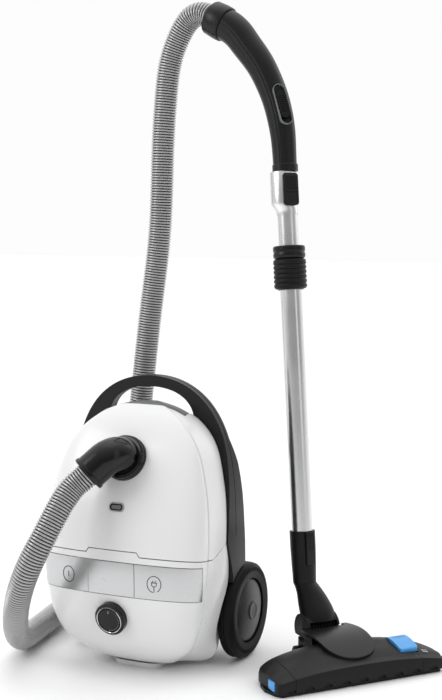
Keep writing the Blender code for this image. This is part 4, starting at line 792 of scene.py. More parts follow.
def make_bumper():
    outline = arch(0.1320, 0.112, 0.150, 0.4195, (3.9, 2.1), 40)
    bumper = link("bumper_arch", prism(outline, 1, -0.05, 0.1))
    cut(bumper, prism(split_outline(0.0008, False), 0, -0.2, 0.2), "INTERSECT")
    back = [(-0.1, 0.05), (0.0750, 0.05)] + list(ARCH_BACK) + [(0.0480, 0.5), (-0.1, 0.5)]
    cut(bumper, prism(back, 0, -0.2, 0.2), "INTERSECT")
    cut(bumper, pan_skin(-0.0003))
    slot = arch(0.070, 0.357, 0.350, 0.4035, (2.5, 2.2), 20)
    slot = [(x, z) for x, z in slot if z > 0.357]
    cut(bumper, prism([(0.070, 0.357)] + slot + [(-0.070, 0.357)], 1, -0.1, 0.2))
    wells(bumper)
    # a groove round the rim, which sets an outer trim line off
    outer = arch(0.1335, 0.19, 0.150, 0.4212, (3.9, 2.1), 40)
    inner = arch(0.1309, 0.19, 0.150, 0.4182, (3.9, 2.1), 40)
    ring = [p for p in outer if p[1] > 0.19] + [p for p in reversed(inner) if p[1] > 0.19]
    cut(bumper, prism(ring, 1, 0.0395, 0.0412))
    finish_piece(bumper, "base", CHARCOAL_SOFT, ("bumper_frame",), 30)


make_casing()
make_bumper()


# ---------------------------------------------------------------- panel, dial and lid fittings
def panel_piece(name, low_x, high_x):
    piece = link(name + "_skin", skin(-0.0005))
    cut(piece, skin(0.0034, 12))
    cut(piece, panel_region(low_x, high_x, 0.0), "INTERSECT")
    return piece


def ribbon(points, width, closed=False):
    """A flat printed line of this width on the casing's face, through (x, z) points."""
    pts = [Vector(p) for p in points]
    count = len(pts)
    bm = bmesh.new()
    rows = []
    for k in range(count):
        before = pts[(k - 1) % count] if closed or k else pts[k]
        after = pts[(k + 1) % count] if closed or k < count - 1 else pts[k]
        along = (after - before).normalized()
        side = Vector((-along.y, along.x)) * width / 2
        pair = []
        for sign in (-1, 1):
            spot = pts[k] + side * sign
            pair.append(bm.verts.new(face_point(spot.x, spot.y, 0.00075)))
        rows.append(pair)
    links = list(zip(rows, rows[1:])) + ([(rows[-1], rows[0])] if closed else [])
    for one, two in links:
        bm.faces.new((one[0], one[1], two[1], two[0]))
    return bm


def arc(centre, radius, start, end, squeeze=1.0, steps=28):
    points = []
    for k in range(steps + 1):
        angle = math.radians(start + (end - start) * k / steps)
        points.append((centre[0] + radius * squeeze * math.cos(angle), centre[1] + radius * math.sin(angle)))
    return points


def icon(name, strokes, width, body):
    whole = bmesh.new()
    for stroke in strokes:
        mesh = bpy.data.meshes.new("stroke")
        bm = ribbon(stroke, width)
        bmesh.ops.recalc_face_normals(bm, faces=bm.faces)
        for face in bm.faces:
            if face.normal.y > 0:
                face.normal_flip()
        bm.to_mesh(mesh)
        bm.free()
        whole.from_mesh(mesh)
    merged = bpy.data.meshes.new(name)
    whole.to_mesh(merged)
    whole.free()
    obj = link(name, merged, INK)
    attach(obj, body)


def make_panel():
    plate = panel_piece("panel_plate", -0.0345, 0.0345)
    finish_piece(plate, "base", SILVER, ("panel_plate",))
    power = panel_piece("power_button", -PANEL_END, -0.0353)
    finish_piece(power, "power", SILVER, ("power_button",))
    rewind = panel_piece("rewind_button", 0.0353, PANEL_END)
    finish_piece(rewind, "rewind", SILVER, ("rewind_button",))

    x, z = -0.0705, 0.1450
    squeeze = 0.88
    strokes = [arc((x, z), 0.0112, 0, 360, squeeze, 44), [(x, z - 0.0038), (x, z + 0.0042)]]
    icon("power_mark", strokes, 0.0013, "power")
    x, z = 0.0666, 0.1455
    strokes = [arc((x, z), 0.0114, -62, 262, squeeze, 44)]
    strokes.append([(x - 0.0044, z + 0.0022), (x + 0.0044, z + 0.0022)])
    strokes.append([(x - 0.0034, z + 0.0022), (x - 0.0034, z - 0.0014), (x - 0.0014, z - 0.0034),
                    (x + 0.0014, z - 0.0034), (x + 0.0034, z - 0.0014), (x + 0.0034, z + 0.0022)])
    strokes.append([(x - 0.0018, z + 0.0022), (x - 0.0018, z + 0.0054)])
    strokes.append([(x + 0.0018, z + 0.0022), (x + 0.0018, z + 0.0054)])
    strokes.append([(x, z - 0.0034), (x, z - 0.0114)])
    icon("rewind_mark", strokes, 0.0011, "rewind")

    at, out = on_face(DIAL_Z)
    place = axis_matrix(at, out, (1, 0, 0))
    ring = [(0.0235, 0.0078), (0.0235, -0.008), (0.0182, -0.008), (0.0182, 0.0080), (0.0196, 0.0092),
            (0.0224, 0.0090)]
    collar = lathe("dial_collar", ring, BLACK, place, 112, True, 0.0, 30)
    finish_piece(collar, "base", BLACK, ("dial_ring",), 30)
    rim = [(0.0197, 0.0086), (0.0183, 0.0086), (0.0183, 0.0104), (0.0188, 0.0109), (0.0194, 0.0106)]
    finish_piece(lathe("dial_rim", rim, CHROME, place, 112, True, 0.0, 30), "base", CHROME, (), 30)
    knob = [(0.0, 0.0104), (0.0160, 0.0104), (0.0174, 0.0096), (0.0178, 0.0015), (0.0060, 0.0010),
            (0.0060, -0.0100), (0.0, -0.0100)]
    dial = lathe("dial_grip", knob, BLACK, place, 112, False, 0.0010, 30)
    finish_piece(dial, "dial", BLACK, ("dial_knob",), 30)
    pointer = link("dial_pointer", box((-0.0005, 0.0100, 0.0100), (0.0005, 0.0142, 0.01065), 0.0001, 1))
    finish_piece(placed(pointer, place), "dial", PALE_GREY)

    # small dots round the dial's face, for the steps of suction
    for k in range(13):
        angle = math.radians(78 - 168 * k / 12)
        dot = cylinder((0.0152 * math.cos(angle), 0.0152 * math.sin(angle), 0.0100),
                       (0.0152 * math.cos(angle), 0.0152 * math.sin(angle), 0.01055), 0.00035 + 0.00002 * k,
                       14)
        finish_piece(placed(link(f"dial_dot_{k}", dot), place), "dial", PALE_GREY)


ELBOW_BEND = 0.0262
# radius of the elbow at distances from the casing, before its bend, and back from its mouth, after it
ELBOW_FOOT = ((-0.0060, 0.0240), (0.0062, 0.0240), (0.0064, 0.0312), (0.0070, 0.0318), (0.0088, 0.0318),
              (0.0094, 0.0312),
              (0.0096, 0.0300), (0.0116, 0.0298), (0.0120, 0.0294), (0.0121, 0.0257))
ELBOW_LIP = ((0.0064, 0.0249), (0.0060, 0.0258), (0.0048, 0.0263), (0.0012, 0.0264), (0.0, 0.0256))


def elbow_mesh(at, out, corner, mouth):
    """A plug that stands on the casing and bends towards the hose in one even curve."""
    way = (mouth - corner).normalized()
    turn = out.angle(way)
    inward = (way - out * math.cos(turn)) / math.sin(turn)
    across = out.cross(inward)
    reach = ELBOW_BEND * math.tan(turn / 2)
    centre = corner - out * reach + inward * ELBOW_BEND
    stations = [(at + out * height, out, radius) for height, radius in ELBOW_FOOT]
    for k in range(25):
        angle = turn * k / 24
        spot = centre + (out * math.sin(angle) - inward * math.cos(angle)) * ELBOW_BEND
        stations.append((spot, out * math.cos(angle) + inward * math.sin(angle), 0.0256 - 0.0007 * k / 24))
    stations += [(mouth - way * back, way, radius) for back, radius in ELBOW_LIP]
    rings = []
    for spot, along, radius in stations:
        other = along.cross(across)
        ring = []
        for k in range(96):
            angle = 2 * math.pi * k / 96
            ring.append(tuple(spot + (across * math.cos(angle) + other * math.sin(angle)) * radius))
        rings.append(ring)
    return loft(rings, True)


def make_lid_fittings():
    at, out = on_face(INDICATOR_Z)
    place = axis_matrix(at, out, (1, 0, 0))
    bezel = link("indicator_bezel", prism(rounded_rectangle(0.0118, 0.0060, 0.0055, 10), 2, -0.0035, 0.0011))
    cut(bezel, prism(rounded_rectangle(0.0104, 0.0047, 0.0045, 10), 2, 0.0005, 0.004))
    bezel.data.transform(place)
    finish_piece(bezel, "lid", PALE_GREY, ("bag_indicator",))
    glass = link("indicator_glass", prism(rounded_rectangle(0.0103, 0.0046, 0.0044, 10), 2, 0.0, 0.0009))
    glass.data.transform(place)
    finish_piece(glass, "lid", BLACK)
    flag = link("indicator_flag", prism(rounded_rectangle(0.0078, 0.0028, 0.0026, 8), 2, 0.0007, 0.00105))
    flag.data.transform(place)
    finish_piece(flag, "lid", GREY)

    at, out = on_face(INLET_Z)
    place = axis_matrix(at, out, (1, 0, 0))
    ring = [(0.0328, 0.0040), (0.0328, -0.012), (0.0250, -0.012), (0.0250, 0.0060), (0.0310, 0.0060)]
    ring_obj = lathe("inlet_collar", ring, CHARCOAL_SOFT, place, 112, True, 0.0, 30)
    finish_piece(ring_obj, "lid", CHARCOAL_SOFT, ("inlet_ring",), 30)

    corner = at + out * 0.0355
    mouth = Vector((-0.0300, -0.1030, 0.2940))
    exit_way = (mouth - corner).normalized()
    elbow = link("elbow_body", elbow_mesh(at, out, corner, mouth))
    cut(elbow, cylinder(mouth - exit_way * 0.02, mouth + exit_way * 0.01, 0.0186, 64))
    finish_piece(elbow, "elbow", BLACK, ("hose_elbow",), 30)


# ---------------------------------------------------------------- wheels
def make_wheels():
    tyre = [(0.0475, 0.0245), (0.0560, 0.0256), (0.0620, 0.0255), (0.0668, 0.0240), (0.0695, 0.0212),
            (0.0705, 0.0165),
            (0.0705, 0.0140), (0.0694, 0.0135), (0.0694, 0.0125), (0.0705, 0.0120), (0.0705, 0.0100),
            (0.0694, 0.0095),
            (0.0694, 0.0085), (0.0705, 0.0080), (0.0700, 0.0055), (0.0685, 0.0030), (0.0600, 0.0000),
            (0.0475, 0.0005)]
    hub = [(0.0, 0.0291), (0.0085, 0.0293), (0.0122, 0.0300), (0.0136, 0.0297), (0.0138, 0.0284),
           (0.0160, 0.0281),
           (0.0250, 0.0270), (0.0330, 0.0256), (0.0400, 0.0240), (0.0440, 0.0227), (0.0462, 0.0214),
           (0.0468, 0.0190),
           (0.0468, 0.0040), (0.0056, 0.0020), (0.0056, 0.0220), (0.0, 0.0220)]
    for side, body in ((-1, "wheel_l"), (1, "wheel_r")):
        place = Matrix.Translation((side * 0.112, WHEEL_Y,
                                    WHEEL_Z)) @ Matrix.Rotation(side * math.radians(90), 4, "Y")
        name = "left" if side < 0 else "right"
        finish_piece(lathe(f"tyre_{name}_tread", tyre, TYRE, place, 144, True), body, TYRE,
                     (f"tyre_{name}",), 32)
        disc = lathe(f"hub_{name}_disc", hub, HUB, place, 144, False, 0.0006)
        finish_piece(disc, body, HUB, (f"wheel_hub_{name}",), 32)
        ribs = bmesh.new()
        for k in range(120):
            mesh = box((0.0575, -0.0004, 0.0245), (0.0632, 0.0004, 0.0259), 0.0002, 1)
            mesh.transform(place @ Matrix.Rotation(2 * math.pi * k / 120, 4, "Z"))
            ribs.from_mesh(mesh)
        merged = bpy.data.meshes.new("ribs")
        ribs.to_mesh(merged)
        ribs.free()
        finish_piece(link(f"tyre_{name}_ribs", merged), body, TYRE)


make_panel()
make_lid_fittings()
make_wheels()


# ---------------------------------------------------------------- floor head
HEAD = Matrix.Translation((0.3295, 0.0395, 0.0)) @ Matrix.Rotation(math.radians(50.0), 4, "Z")
HEAD_DEPTH, HEAD_LOW_Z, HEAD_RIDGE_Z, HEAD_FRONT_Z = 0.086, 0.0050, 0.0450, 0.0298
PIVOT = Vector((0.0, 0.137, 0.045))
NECK = HEAD @ Matrix.Translation(PIVOT)
LEAN = Matrix.Rotation(-math.radians(6.87), 4, "X") @ Matrix.Rotation(math.radians(0.24), 4, "Y")
WAND = HEAD @ Matrix.Translation((-0.0095, 0.1676, 0.185)) @ LEAN
SWIVEL = WAND @ Matrix.Translation((0, 0, -0.0768))
DRUM_RADIUS, SWIVEL_RADIUS = 0.0170, 0.0172
OUTER_TUBE, INNER_TUBE = 0.0160, 0.0149
COLLAR_LOW, COLLAR_TOP = 0.3584, 0.4239
SLEEVE_LOW, SLEEVE_TOP = 0.4701, 0.5345


HEAD_HALF = 0.1350
# how far the head's front and back edges draw in, by the distance from its end
END_AT = (0.0, 0.0013, 0.0035, 0.0073, 0.0125, 0.0215, 0.0305, 0.0425)
END_FRONT = (0.0060, 0.0030, 0.0012, 0.0003, 0.0, 0.0, 0.0, 0.0)
END_BACK = (0.0480, 0.0610, 0.0682, 0.0748, 0.0800, 0.0838, 0.0856, HEAD_DEPTH)
END_STEPS = (0.0, 0.0006, 0.0013, 0.0023, 0.0035, 0.0053, 0.0073, 0.0097, 0.0125, 0.0165, 0.0215, 0.0265,
             0.0305, 0.0365)
HEAD_LIP = [(0.0, -0.0022), (0.009, -0.0004), (0.03, 0.0003), (0.14, 0.0012)]


def head_ends(x):
    from_end = HEAD_HALF - abs(x)
    return float(np.interp(from_end, END_AT, END_FRONT)), float(np.interp(from_end, END_AT, END_BACK))


def head_heights(x):
    """The height of the head's ridge and of its front edge at this x."""
    ridge = HEAD_RIDGE_Z - 0.0216 * (abs(x) / HEAD_HALF) ** 2.4
    return ridge, HEAD_FRONT_Z * (ridge / HEAD_RIDGE_Z) ** 0.7


def head_slope(x, share):
    """The height of the head's top between its front lip, at 0, and its ridge, at 1."""
    ridge, edge = head_heights(x)
    bulge = 0.0026 * math.sin(math.pi * share) * (1 - share)
    return edge + 0.0012 + (ridge - edge - 0.0012) * share + bulge


def head_loft(inset=0.0):
    xs = [HEAD_HALF - step for step in END_STEPS] + list(np.linspace(HEAD_HALF - END_AT[-1], 0.0, 14))
    xs += [-x for x in reversed(xs[:-1])]
    rings = []
    for x in xs:
        front, back = head_ends(x)
        ridge, edge = head_heights(x)
        points = [(0.0, HEAD_LOW_Z)] + [(share, edge + rise) for share, rise in HEAD_LIP]
        points += [(0.14 + 0.48 * k / 11, head_slope(x, k / 11)) for k in range(1, 12)]
        points += [(0.70, ridge + 0.0002), (0.78, ridge - 0.0008), (0.86, ridge - 0.0022),
                   (0.93, ridge - 0.0042),
                   (0.975, ridge - 0.0068), (1.0, ridge - 0.0105), (1.0, HEAD_LOW_Z)]
        depth = back - front
        ring = []
        for share, z in points:
            y = front + inset + (depth - 2 * inset) * share
            ring.append((x * (1 - inset / HEAD_HALF), y, max(z - inset, HEAD_LOW_Z)))
        rings.append(ring)
    return loft(rings, True)


def head_print():
    """A small printed plate by the pedal, with a generic sign for carpet: three short strokes."""
    def plate(low, high, rise):
        corners = ((low[0], low[1]), (high[0], low[1]), (high[0], high[1]), (low[0], high[1]))
        bm = bmesh.new()
        verts = []
        for across, along in corners:
            x, share = 0.1120 + across, 0.20 + along / 0.0413
            y = HEAD_DEPTH * (0.14 + 0.48 * share)
            verts.append(bm.verts.new((x, y, head_slope(x, share) + rise)))
        bm.faces.new(verts)
        mesh = bpy.data.meshes.new("plate")
        bm.to_mesh(mesh)
        bm.free()
        return placed(link("head_plate", mesh), HEAD)

    finish_piece(plate((-0.0044, -0.0034), (0.0044, 0.0034), 0.0009), "base", PALE_GREY)
    for k in (-1, 0, 1):
        stroke = plate((0.0024 * k - 0.0006, -0.0018), (0.0024 * k + 0.0006, 0.0018), 0.0012)
        finish_piece(stroke, "base", INK)


def make_head():
    body = link("head_shell", head_loft())
    for side in (-1, 1):
        inner, outer = side * (HEAD_HALF - 0.0055), side * 0.16
        low = (min(inner, outer), 0.0105, 0.0056)
        high = (max(inner, outer), 0.0315, 0.0204)
        cut(body, box(low, high), careful=True)
    for k in range(-4, 5):
        x = 0.0287 * k
        cut(body, cylinder((x, -0.01, 0.0033), (x, 0.0035, 0.0033), 0.0076, 38), careful=True)
    inner = link("head_inner", head_loft(0.0006))
    for x in (-0.108, 0.0965):
        slab = link("slab", box((x - 0.0004, -0.01, 0.0049), (x + 0.0004, 0.1, 0.06)))
        cut(slab, inner)
        cut(body, slab, careful=True)
        bpy.data.objects.remove(slab, do_unlink=True)
    bpy.data.objects.remove(inner, do_unlink=True)
    chamber = [(0.004, 0.0), (0.004, 0.0220), (0.053, 0.0380), (0.080, 0.0320), (0.080, 0.0)]
    cut(body, prism(chamber, 0, -0.078, 0.066), careful=True)
    for low, high in ((-0.1055, -0.07), (0.06, 0.1055)):
        cut(body, box((low, 0.0600, 0.0), (high, 0.0710, 0.0215)), careful=True)
    recess = [(0.0180, 0.06), (0.0180, 0.0245), (0.040, 0.0308), (0.054, 0.0340), (0.0612, 0.0356),
              (0.0612, 0.06)]
    cut(body, prism(recess, 0, 0.0705, 0.1015), careful=True)
    cut(body, cylinder((0, 0.070, 0.024), (0, 0.095, 0.024), 0.0100, 40), careful=True)
    placed(body, HEAD)
    finish_piece(body, "base", CHARCOAL, ("head_body",), 30)
    for side, name in ((-1, "left"), (1, "right")):
        inner, outer = side * (HEAD_HALF - 0.0052), side * (HEAD_HALF + 0.0011)
        low = (min(inner, outer), 0.0118, 0.0062)
        high = (max(inner, outer), 0.0300, 0.0198)
        insert = placed(link(f"insert_{name}", box(low, high, 0.0012, 3)), HEAD)
        finish_piece(insert, "base", BLUE, (f"side_insert_{name}",))

    side_view = [(0.0200, 0.0290), (0.0188, 0.0320), (0.0194, 0.0345), (0.0215, 0.0362), (0.0250, 0.0374),
                 (0.0320, 0.0396), (0.0400, 0.0416),
                 (0.0500, 0.0430), (0.0560, 0.0430), (0.0595, 0.0418), (0.0607, 0.0396), (0.0605, 0.0355),
                 (0.0540, 0.0345)]
    pedal = link("pedal_pad", prism(side_view, 0, 0.0710, 0.1010))
    plan = [(0.1010, 0.07), (0.0710, 0.07), (0.0710, 0.0235), (0.0722, 0.0207), (0.0750, 0.0192),
            (0.0970, 0.0192), (0.0998, 0.0207),
            (0.1010, 0.0235)]
    cut(pedal, prism(plan, 2, 0.0, 0.1), "INTERSECT")
    for k in range(4):
        y = 0.0440 + 0.0040 * k
        cut(pedal, box((0.0760, y, 0.0424), (0.0960, y + 0.0014, 0.047), 0.0003, 1))
    finish_piece(placed(pedal, HEAD), "pedal", BLUE, ("head_pedal",), 40)
    head_print()

    top = smooth_line([(0.010, 0.0340), (0.020, 0.0385), (0.055, 0.0508), (0.090, 0.0542), (0.122, 0.0515)],
                      30)
    low = [(b, z - 0.0030) for b, z in reversed(top)]
    cover = link("cover_top", prism(list(map(tuple, top)) + low, 0, -0.06, 0.06))
    right = [(0.0, 0.0140), (0.016, 0.0165), (0.029, 0.024), (0.0375, 0.037), (0.0410, 0.055),
             (0.0415, 0.080),
             (0.0400, 0.103), (0.0380, 0.118)]
    smooth = [tuple(p) for p in smooth_line(right, 34)] + [(0.0300, 0.118), (0.0295, 0.107)]
    leaf = smooth + [(-x, y) for x, y in reversed(smooth[1:])]
    cut(cover, prism(leaf, 2, 0.0, 0.1), "INTERSECT")
    finish_piece(placed(cover, HEAD), "base", CHARCOAL_SOFT, ("bridge_cover",), 30)
    tufts = bmesh.new()
    for k in range(46):
        x = -0.1015 + 0.203 * k / 45
        mesh = cylinder((x, 0.0655, 0.0066), (x, 0.0655, 0.0150), 0.0017, 10)
        tufts.from_mesh(mesh)
    mesh = box((-0.103, 0.0622, 0.0110), (0.103, 0.0688, 0.0150), 0.0004, 1)
    tufts.from_mesh(mesh)
    merged = bpy.data.meshes.new("tufts")
    tufts.to_mesh(merged)
    tufts.free()
    finish_piece(placed(link("brush_tufts", merged), HEAD), "brush", BRISTLE, ("brush_strip",))


def make_carriage():
    ribs, half = 9, 0.0222
    drum = [(0.0, half)]
    for k in range(ribs):
        high = half - 2 * half * k / ribs
        step = 2 * half / ribs
        drum += [(DRUM_RADIUS - 0.0014, high - 0.05 * step), (DRUM_RADIUS, high - 0.25 * step),
                 (DRUM_RADIUS, high - 0.60 * step), (DRUM_RADIUS - 0.0014, high - 0.80 * step),
                 (DRUM_RADIUS - 0.0034, high - 0.92 * step)]
    drum.append((0.0, -half))
    place = HEAD @ Matrix.Translation(PIVOT) @ Matrix.Rotation(math.radians(90), 4, "Y")
    finish_piece(lathe("bellows", drum, RUBBER, place, 80), "base", RUBBER, ("pivot_bellows",), 40)
    profile = [(0.0, 0.0325), (0.0066, 0.0325), (0.0080, 0.0312), (0.0080, 0.0240), (0.0072, 0.0222),
               (0.0022, 0.0222)]
    profile += [(radius, -height) for radius, height in reversed(profile)]
    axle = HEAD @ Matrix.Translation((0, 0.1480, 0.0087)) @ Matrix.Rotation(math.radians(90), 4, "Y")
    finish_piece(lathe("floor_roller", profile, RUBBER, axle, 64), "roller", RUBBER, ("head_roller",))


def tube_rings(stations, sides, shrink=0.0):
    rings = []
    for row in stations:
        centre, up, wide, deep = Vector(row[0:3]), Vector(row[3:6]).normalized(), row[6], row[7]
        back = up.cross(Vector((1, 0, 0))).normalized()
        side = back.cross(up)
        ring = []
        for k in range(sides):
            angle = 2 * math.pi * k / sides
            reach = side * (wide - shrink) * math.cos(angle)
            ring.append(centre + reach + back * (deep - shrink) * math.sin(angle))
        rings.append(ring)
    return loft(rings, True)


def make_neck():
    to_neck = NECK.inverted() @ SWIVEL
    top = to_neck.translation
    up = (to_neck.to_3x3() @ Vector((0, 0, 1))).normalized()
    last = top - up * 0.0003
    rows = [
        (0.0, -0.001, 0.0, 0, 0.05, 1, 0.0262, 0.0232),
        (0.0010, 0.0010, 0.018, 0, 0.15, 1, 0.0262, 0.0235),
        (-0.0010, 0.0080, 0.034, 0, 0.25, 1, 0.0240, 0.0220),
        (-0.0038, 0.0150, 0.049, up.x + 0.05, up.y + 0.1, up.z, 0.0203, 0.0198),
        (*last, *up, SWIVEL_RADIUS, SWIVEL_RADIUS),
    ]
    fine = smooth_line(rows, 30)
    knee = link("knee", tube_rings(fine, 80))
    cut(knee, cylinder((-0.0262, 0, 0), (0.0262, 0, 0), 0.0225, 96), "UNION")
    bore_rows = list(map(tuple, smooth_line(rows[1:], 12)))
    bore_rows.append((*(top + up * 0.01), *up, SWIVEL_RADIUS, SWIVEL_RADIUS))
    cut(knee, tube_rings(bore_rows, 40, 0.0032))
    cut(knee, cylinder((-0.0226, 0, 0), (0.0226, 0, 0), DRUM_RADIUS + 0.0024, 96))
    mouth = [(-0.05, -0.05), (0.0400, -0.05), (0.0400, -0.0030), (0.0, 0.0), (-0.0170, 0.0130),
             (-0.05, 0.018)]
    cut(knee, prism(mouth, 0, -0.0226, 0.0226))
    below = [(-0.05, -0.05), (-0.05, 0.010), (-0.0190, 0.0060), (-0.012, -0.0120), (0.012, -0.0120),
             (0.05, -0.010), (0.05, -0.05)]
    cut(knee, prism(below, 0, -0.05, 0.05))
    finish_piece(placed(knee, NECK), "neck", CHARCOAL, ("neck_knee",), 34)

    profile = [(0.0190, 0.0), (0.0190, -0.0260), (0.0188, -0.0300), (0.0182, -0.0500), (0.0176, -0.0640),
               (0.0172, -0.0768),
               (0.0140, -0.0768), (0.0140, -0.0400), (0.0163, -0.0400), (0.0163, 0.0)]
    socket = lathe("socket", profile, None, None, 96, True)
    turn = Matrix.Rotation(math.radians(-83), 4, "Z")
    pocket = box((0.0168, -0.0082, -0.0505), (0.03, 0.0082, 0.01))
    pocket.transform(turn)
    cut(socket, pocket)
    finish_piece(placed(socket, WAND), "lower_wand", CHARCOAL, ("neck_socket",), 30)
    clip = link("clip", box((0.0180, -0.0077, -0.0500), (0.0206, 0.0077, -0.0010), 0.0011, 3))
    for k in range(4):
        z = -0.0120 - 0.0040 * k
        cut(clip, box((0.0202, -0.0055, z - 0.0007), (0.03, 0.0055, z + 0.0007)))
    finish_piece(placed(clip, WAND @ turn), "socket_clip", CHARCOAL_SOFT, ("neck_clip",))


# ---------------------------------------------------------------- wand
def make_wand():
    tube = [(OUTER_TUBE, COLLAR_LOW + 0.030), (OUTER_TUBE, -0.0436), (OUTER_TUBE - 0.0008, -0.0436),
            (OUTER_TUBE - 0.0008, COLLAR_LOW + 0.030)]
    finish_piece(lathe("lower_tube", tube, ALUMINIUM, WAND, 96, True), "lower_wand", ALUMINIUM,
                 ("outer_tube",))
    tube = [(INNER_TUBE, SLEEVE_LOW + 0.010), (INNER_TUBE, 0.0200), (INNER_TUBE - 0.0010, 0.0200),
            (INNER_TUBE - 0.0010, SLEEVE_LOW + 0.010)]
    finish_piece(lathe("upper_tube", tube, CHROME, WAND, 96, True), "upper_wand", ALUMINIUM, ("inner_tube",))
    core = [(0.0216, COLLAR_TOP), (0.0230, COLLAR_TOP - 0.0004), (0.0240, COLLAR_TOP - 0.0020),
            (0.0240, COLLAR_TOP - 0.0075),
            (0.0230, COLLAR_TOP - 0.0090), (0.0232, COLLAR_TOP - 0.0100), (0.0241, COLLAR_TOP - 0.0125),
            (0.0241, COLLAR_TOP - 0.0155), (0.0230, COLLAR_TOP - 0.0180), (0.0205, COLLAR_TOP - 0.0200),
            (0.0205, COLLAR_LOW + 0.0015), (0.0185, COLLAR_LOW), (OUTER_TUBE + 0.0003, COLLAR_LOW),
            (OUTER_TUBE + 0.0003, COLLAR_LOW + 0.0303), (INNER_TUBE + 0.0003, COLLAR_LOW + 0.0320),
            (INNER_TUBE + 0.0003, COLLAR_TOP)]
    finish_piece(lathe("collar_inside", core, RUBBER, WAND, 96, True), "lower_wand", CHARCOAL_SOFT,
                 ("collar_core",), 30)
    sleeve = [(0.0208, 0.0450), (0.0236, 0.0450), (0.0243, 0.0442)]
    count = 6
    for k in range(count):
        z = 0.0405 - 0.0345 * k / (count - 1)
        sleeve += [(0.0238, z + 0.0027), (0.0245, z + 0.0016), (0.0246, z), (0.0245, z - 0.0014),
                   (0.0238, z - 0.0025), (0.0230, z - 0.0031)]
    sleeve += [(0.0226, 0.0020), (0.0208, 0.0020)]
    place = WAND @ Matrix.Translation((0, 0, COLLAR_LOW))
    finish_piece(lathe("collar_grip", sleeve, RUBBER, place, 96, True), "collar", RUBBER,
                 ("collar_sleeve",), 40)

    handle_turn = Matrix.Rotation(math.radians(129.2), 4, "Z")
    heights = list(np.linspace(SLEEVE_LOW, SLEEVE_LOW + 0.018, 14)) + [SLEEVE_TOP - 0.0012, SLEEVE_TOP]
    rings = []
    for height in heights:
        t = min(max((height - SLEEVE_LOW - 0.002) / 0.016, 0.0), 1.0)
        share = t * t * (3 - 2 * t)
        radius = 0.0160 + 0.0035 * share - (0.0006 if height == SLEEVE_TOP else 0.0)
        rings.append([(0.0043 * share + radius * math.cos(2 * math.pi * k / 96),
                       radius * math.sin(2 * math.pi * k / 96), height)
                      for k in range(96)])
    fitting = placed(link("fitting", loft(rings, True)), handle_turn)
    cut(fitting, cylinder((0, 0, SLEEVE_LOW - 0.01), (0, 0, SLEEVE_TOP + 0.01), INNER_TUBE + 0.0003, 96))
    clip_turn = Matrix.Rotation(math.radians(-98), 4, "Z")
    pocket = box((0.0160, -0.0122, SLEEVE_TOP - 0.0530), (0.03, 0.0122, SLEEVE_TOP - 0.0035))
    pocket.transform(clip_turn)
    cut(fitting, pocket)
    finish_piece(placed(fitting, WAND), "upper_wand", ALUMINIUM, ("tube_sleeve",), 30)
    clip_outline = rounded_rectangle(0.0117, 0.0241, 0.0050, 8)
    clip_outline = [(y, z - 0.0281) for y, z in clip_outline]
    clip = link("clip_pad", prism(clip_outline, 0, 0.0175, 0.0216))
    cut(clip, box((0.0175, -0.0100, -0.0315), (0.0232, 0.0100, -0.0058), 0.0024, 4), "UNION")
    cut(clip, box((0.0175, -0.0076, -0.0515), (0.0226, 0.0076, -0.0340), 0.0020, 4), "UNION")
    for k in range(5):
        z = -0.0110 - 0.0040 * k
        cut(clip, box((0.0226, -0.0085, z - 0.0007), (0.03, 0.0085, z + 0.0007)))
    place = WAND @ Matrix.Translation((0, 0, SLEEVE_TOP)) @ clip_turn
    finish_piece(placed(clip, place), "wand_clip", CHARCOAL, ("tube_clip",))

    out = Vector((0.839, 0.0, 0.545)).normalized()
    end = Vector((0.0854, 0.0, 0.7667))
    points = [(0.0, 0.0, SLEEVE_TOP + 0.0005), (0.0002, 0.0, 0.5614), (0.0009, 0.0, 0.5884),
              (0.0040, 0.0, 0.6157), (0.0100, 0.0, 0.6435),
              (0.0198, 0.0, 0.6720), (0.0345, 0.0, 0.7030), (0.0535, 0.0, 0.7315), (0.0680, 0.0, 0.7520),
              tuple(end - out * 0.006), tuple(end)]
    line = smooth_line(points, 90)
    tangent = np.gradient(line, axis=0)
    tangent /= np.linalg.norm(tangent, axis=1)[:, None]
    tangent[-1] = out
    radii = np.interp(np.linspace(0, 1, 90), (0, 0.12, 0.3, 0.6, 0.85, 1),
                      (0.0176, 0.0180, 0.0198, 0.0214, 0.0234, 0.0246))
    kernel = np.ones(9) / 9
    radii = np.convolve(np.pad(radii, 4, mode="edge"), kernel, mode="valid")
    rings = []
    sides = 96
    for spot, along, radius in zip(line, tangent, radii):
        side = np.array((0, 1.0, 0))
        other = np.cross(along, side)
        ring = []
        for k in range(sides):
            angle = 2 * math.pi * k / sides
            reach = radius
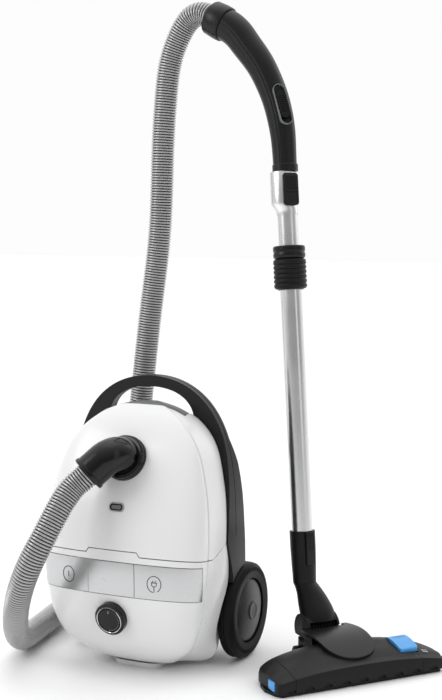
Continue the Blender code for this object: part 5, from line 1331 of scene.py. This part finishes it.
            # parting line of the two shells, along the handle's left and right sides
            if k in (0, sides // 2):
                reach -= 0.0006
            ring.append(tuple(spot + reach * (math.cos(angle) * side + math.sin(angle) * other)))
        rings.append(ring)
    grip = link("grip", loft(rings, True))
    ring = [(0.0, SLEEVE_TOP + 0.0110), (0.0186, SLEEVE_TOP + 0.0110), (0.0192, SLEEVE_TOP + 0.0102),
            (0.0192, SLEEVE_TOP + 0.0012), (0.0186, SLEEVE_TOP + 0.0003), (0.0, SLEEVE_TOP + 0.0003)]
    base = lathe("base", ring, None, None, 96)
    cut(grip, base.data, "UNION")
    bpy.data.objects.remove(base, do_unlink=True)
    placed(grip, handle_turn)
    slider_place = (
        handle_turn
        @ Matrix.Translation((0.0069, 0, 0.6300))
        @ Matrix.Rotation(math.radians(13), 4, "Y")
        @ Matrix.Rotation(math.radians(-45), 4, "Z")
    )
    pocket = box((-0.03, -0.0086, -0.0300), (-0.0160, 0.0086, 0.0300), 0.0030, 4)
    pocket.transform(slider_place)
    cut(grip, pocket)
    finish_piece(placed(grip, WAND), "upper_wand", CHARCOAL_SOFT, ("handle",), 30)
    outline = rounded_rectangle(0.0098, 0.0315, 0.0097, 10)
    inner = rounded_rectangle(0.0086, 0.0303, 0.0085, 10)
    rim = link("slider_rim", prism(outline, 0, -0.0216, -0.0150))
    cut(rim, prism(inner, 0, -0.03, 0.0))
    finish_piece(placed(rim, WAND @ slider_place), "upper_wand", GREY)
    slider = link("slider_pad", prism(rounded_rectangle(0.0078, 0.0215, 0.0077, 10), 0, -0.0228, -0.0165))
    for k in range(9):
        z = -0.0120 + 0.0030 * k
        cut(slider, box((-0.03, -0.0056, z - 0.0006), (-0.0220, 0.0056, z + 0.0006)))
    finish_piece(placed(slider, WAND @ slider_place), "slider", RUBBER, ("suction_slider",))

    cuff = [(0.0190, 0.0290), (0.0236, 0.0290), (0.0252, 0.0284), (0.0262, 0.0268), (0.0272, 0.0120),
            (0.0272, 0.0050), (0.0268, 0.0012),
            (0.0256, 0.0), (0.0142, 0.0), (0.0142, 0.0200), (0.0160, 0.0230), (0.0190, 0.0230)]
    cuff_place = WAND @ handle_turn @ axis_matrix(end + out * 0.0003, out)
    finish_piece(lathe("cuff_sleeve", cuff, CHARCOAL, cuff_place, 96, True), "cuff", CHARCOAL_SOFT,
                 ("hose_cuff",), 30)


make_head()
make_carriage()
make_neck()
make_wand()


# ---------------------------------------------------------------- simple pieces
def make_latch():
    latch = link("latch_pad", skin(0.0012, 16))
    cut(latch, skin(0.0045, 16))
    cut(latch, prism(split_outline(-0.0005, True), 0, -0.2, 0.2), "INTERSECT")
    cut(latch, box((-0.066, 0.0080, 0.34), (0.066, 0.1, 0.42)), "INTERSECT")
    finish_piece(latch, "latch", GREY, ("lid_latch",), 30)


make_latch()
for name, finish in (
    ("parking_foot", WHITE),
    ("elbow_catch", CHARCOAL_SOFT),
    ("caster_fork", GREY),
    ("caster_roller", TYRE),
    ("exhaust_grille", GREY),
    ("exhaust_filter", FLEECE),
    ("cord_outlet", RUBBER),
    ("bulkhead", GREY),
    ("motor_filter", FLEECE),
    ("motor", STEEL),
    ("fan", STEEL),
    ("cord_reel", GREY),
    ("circuit_board", BOARD),
    ("bag_holder", GREY),
    ("dust_bag", FLEECE),
    ("sole_plate", CHARCOAL),
    ("head_carriage", CHARCOAL),
):
    dress(name, finish)


# ---------------------------------------------------------------- floor and finish
def make_floor():
    made = material("floor_paper", (0.96, 0.96, 0.96), 0.55, 0, (60, 0.05), 0.01, 0.05)
    bm = bmesh.new()
    bmesh.ops.create_grid(bm, x_segments=2, y_segments=2, size=14.0)
    floor = link("floor", mesh_of(bm), made)
    floor.location.z = -0.0002


make_floor()
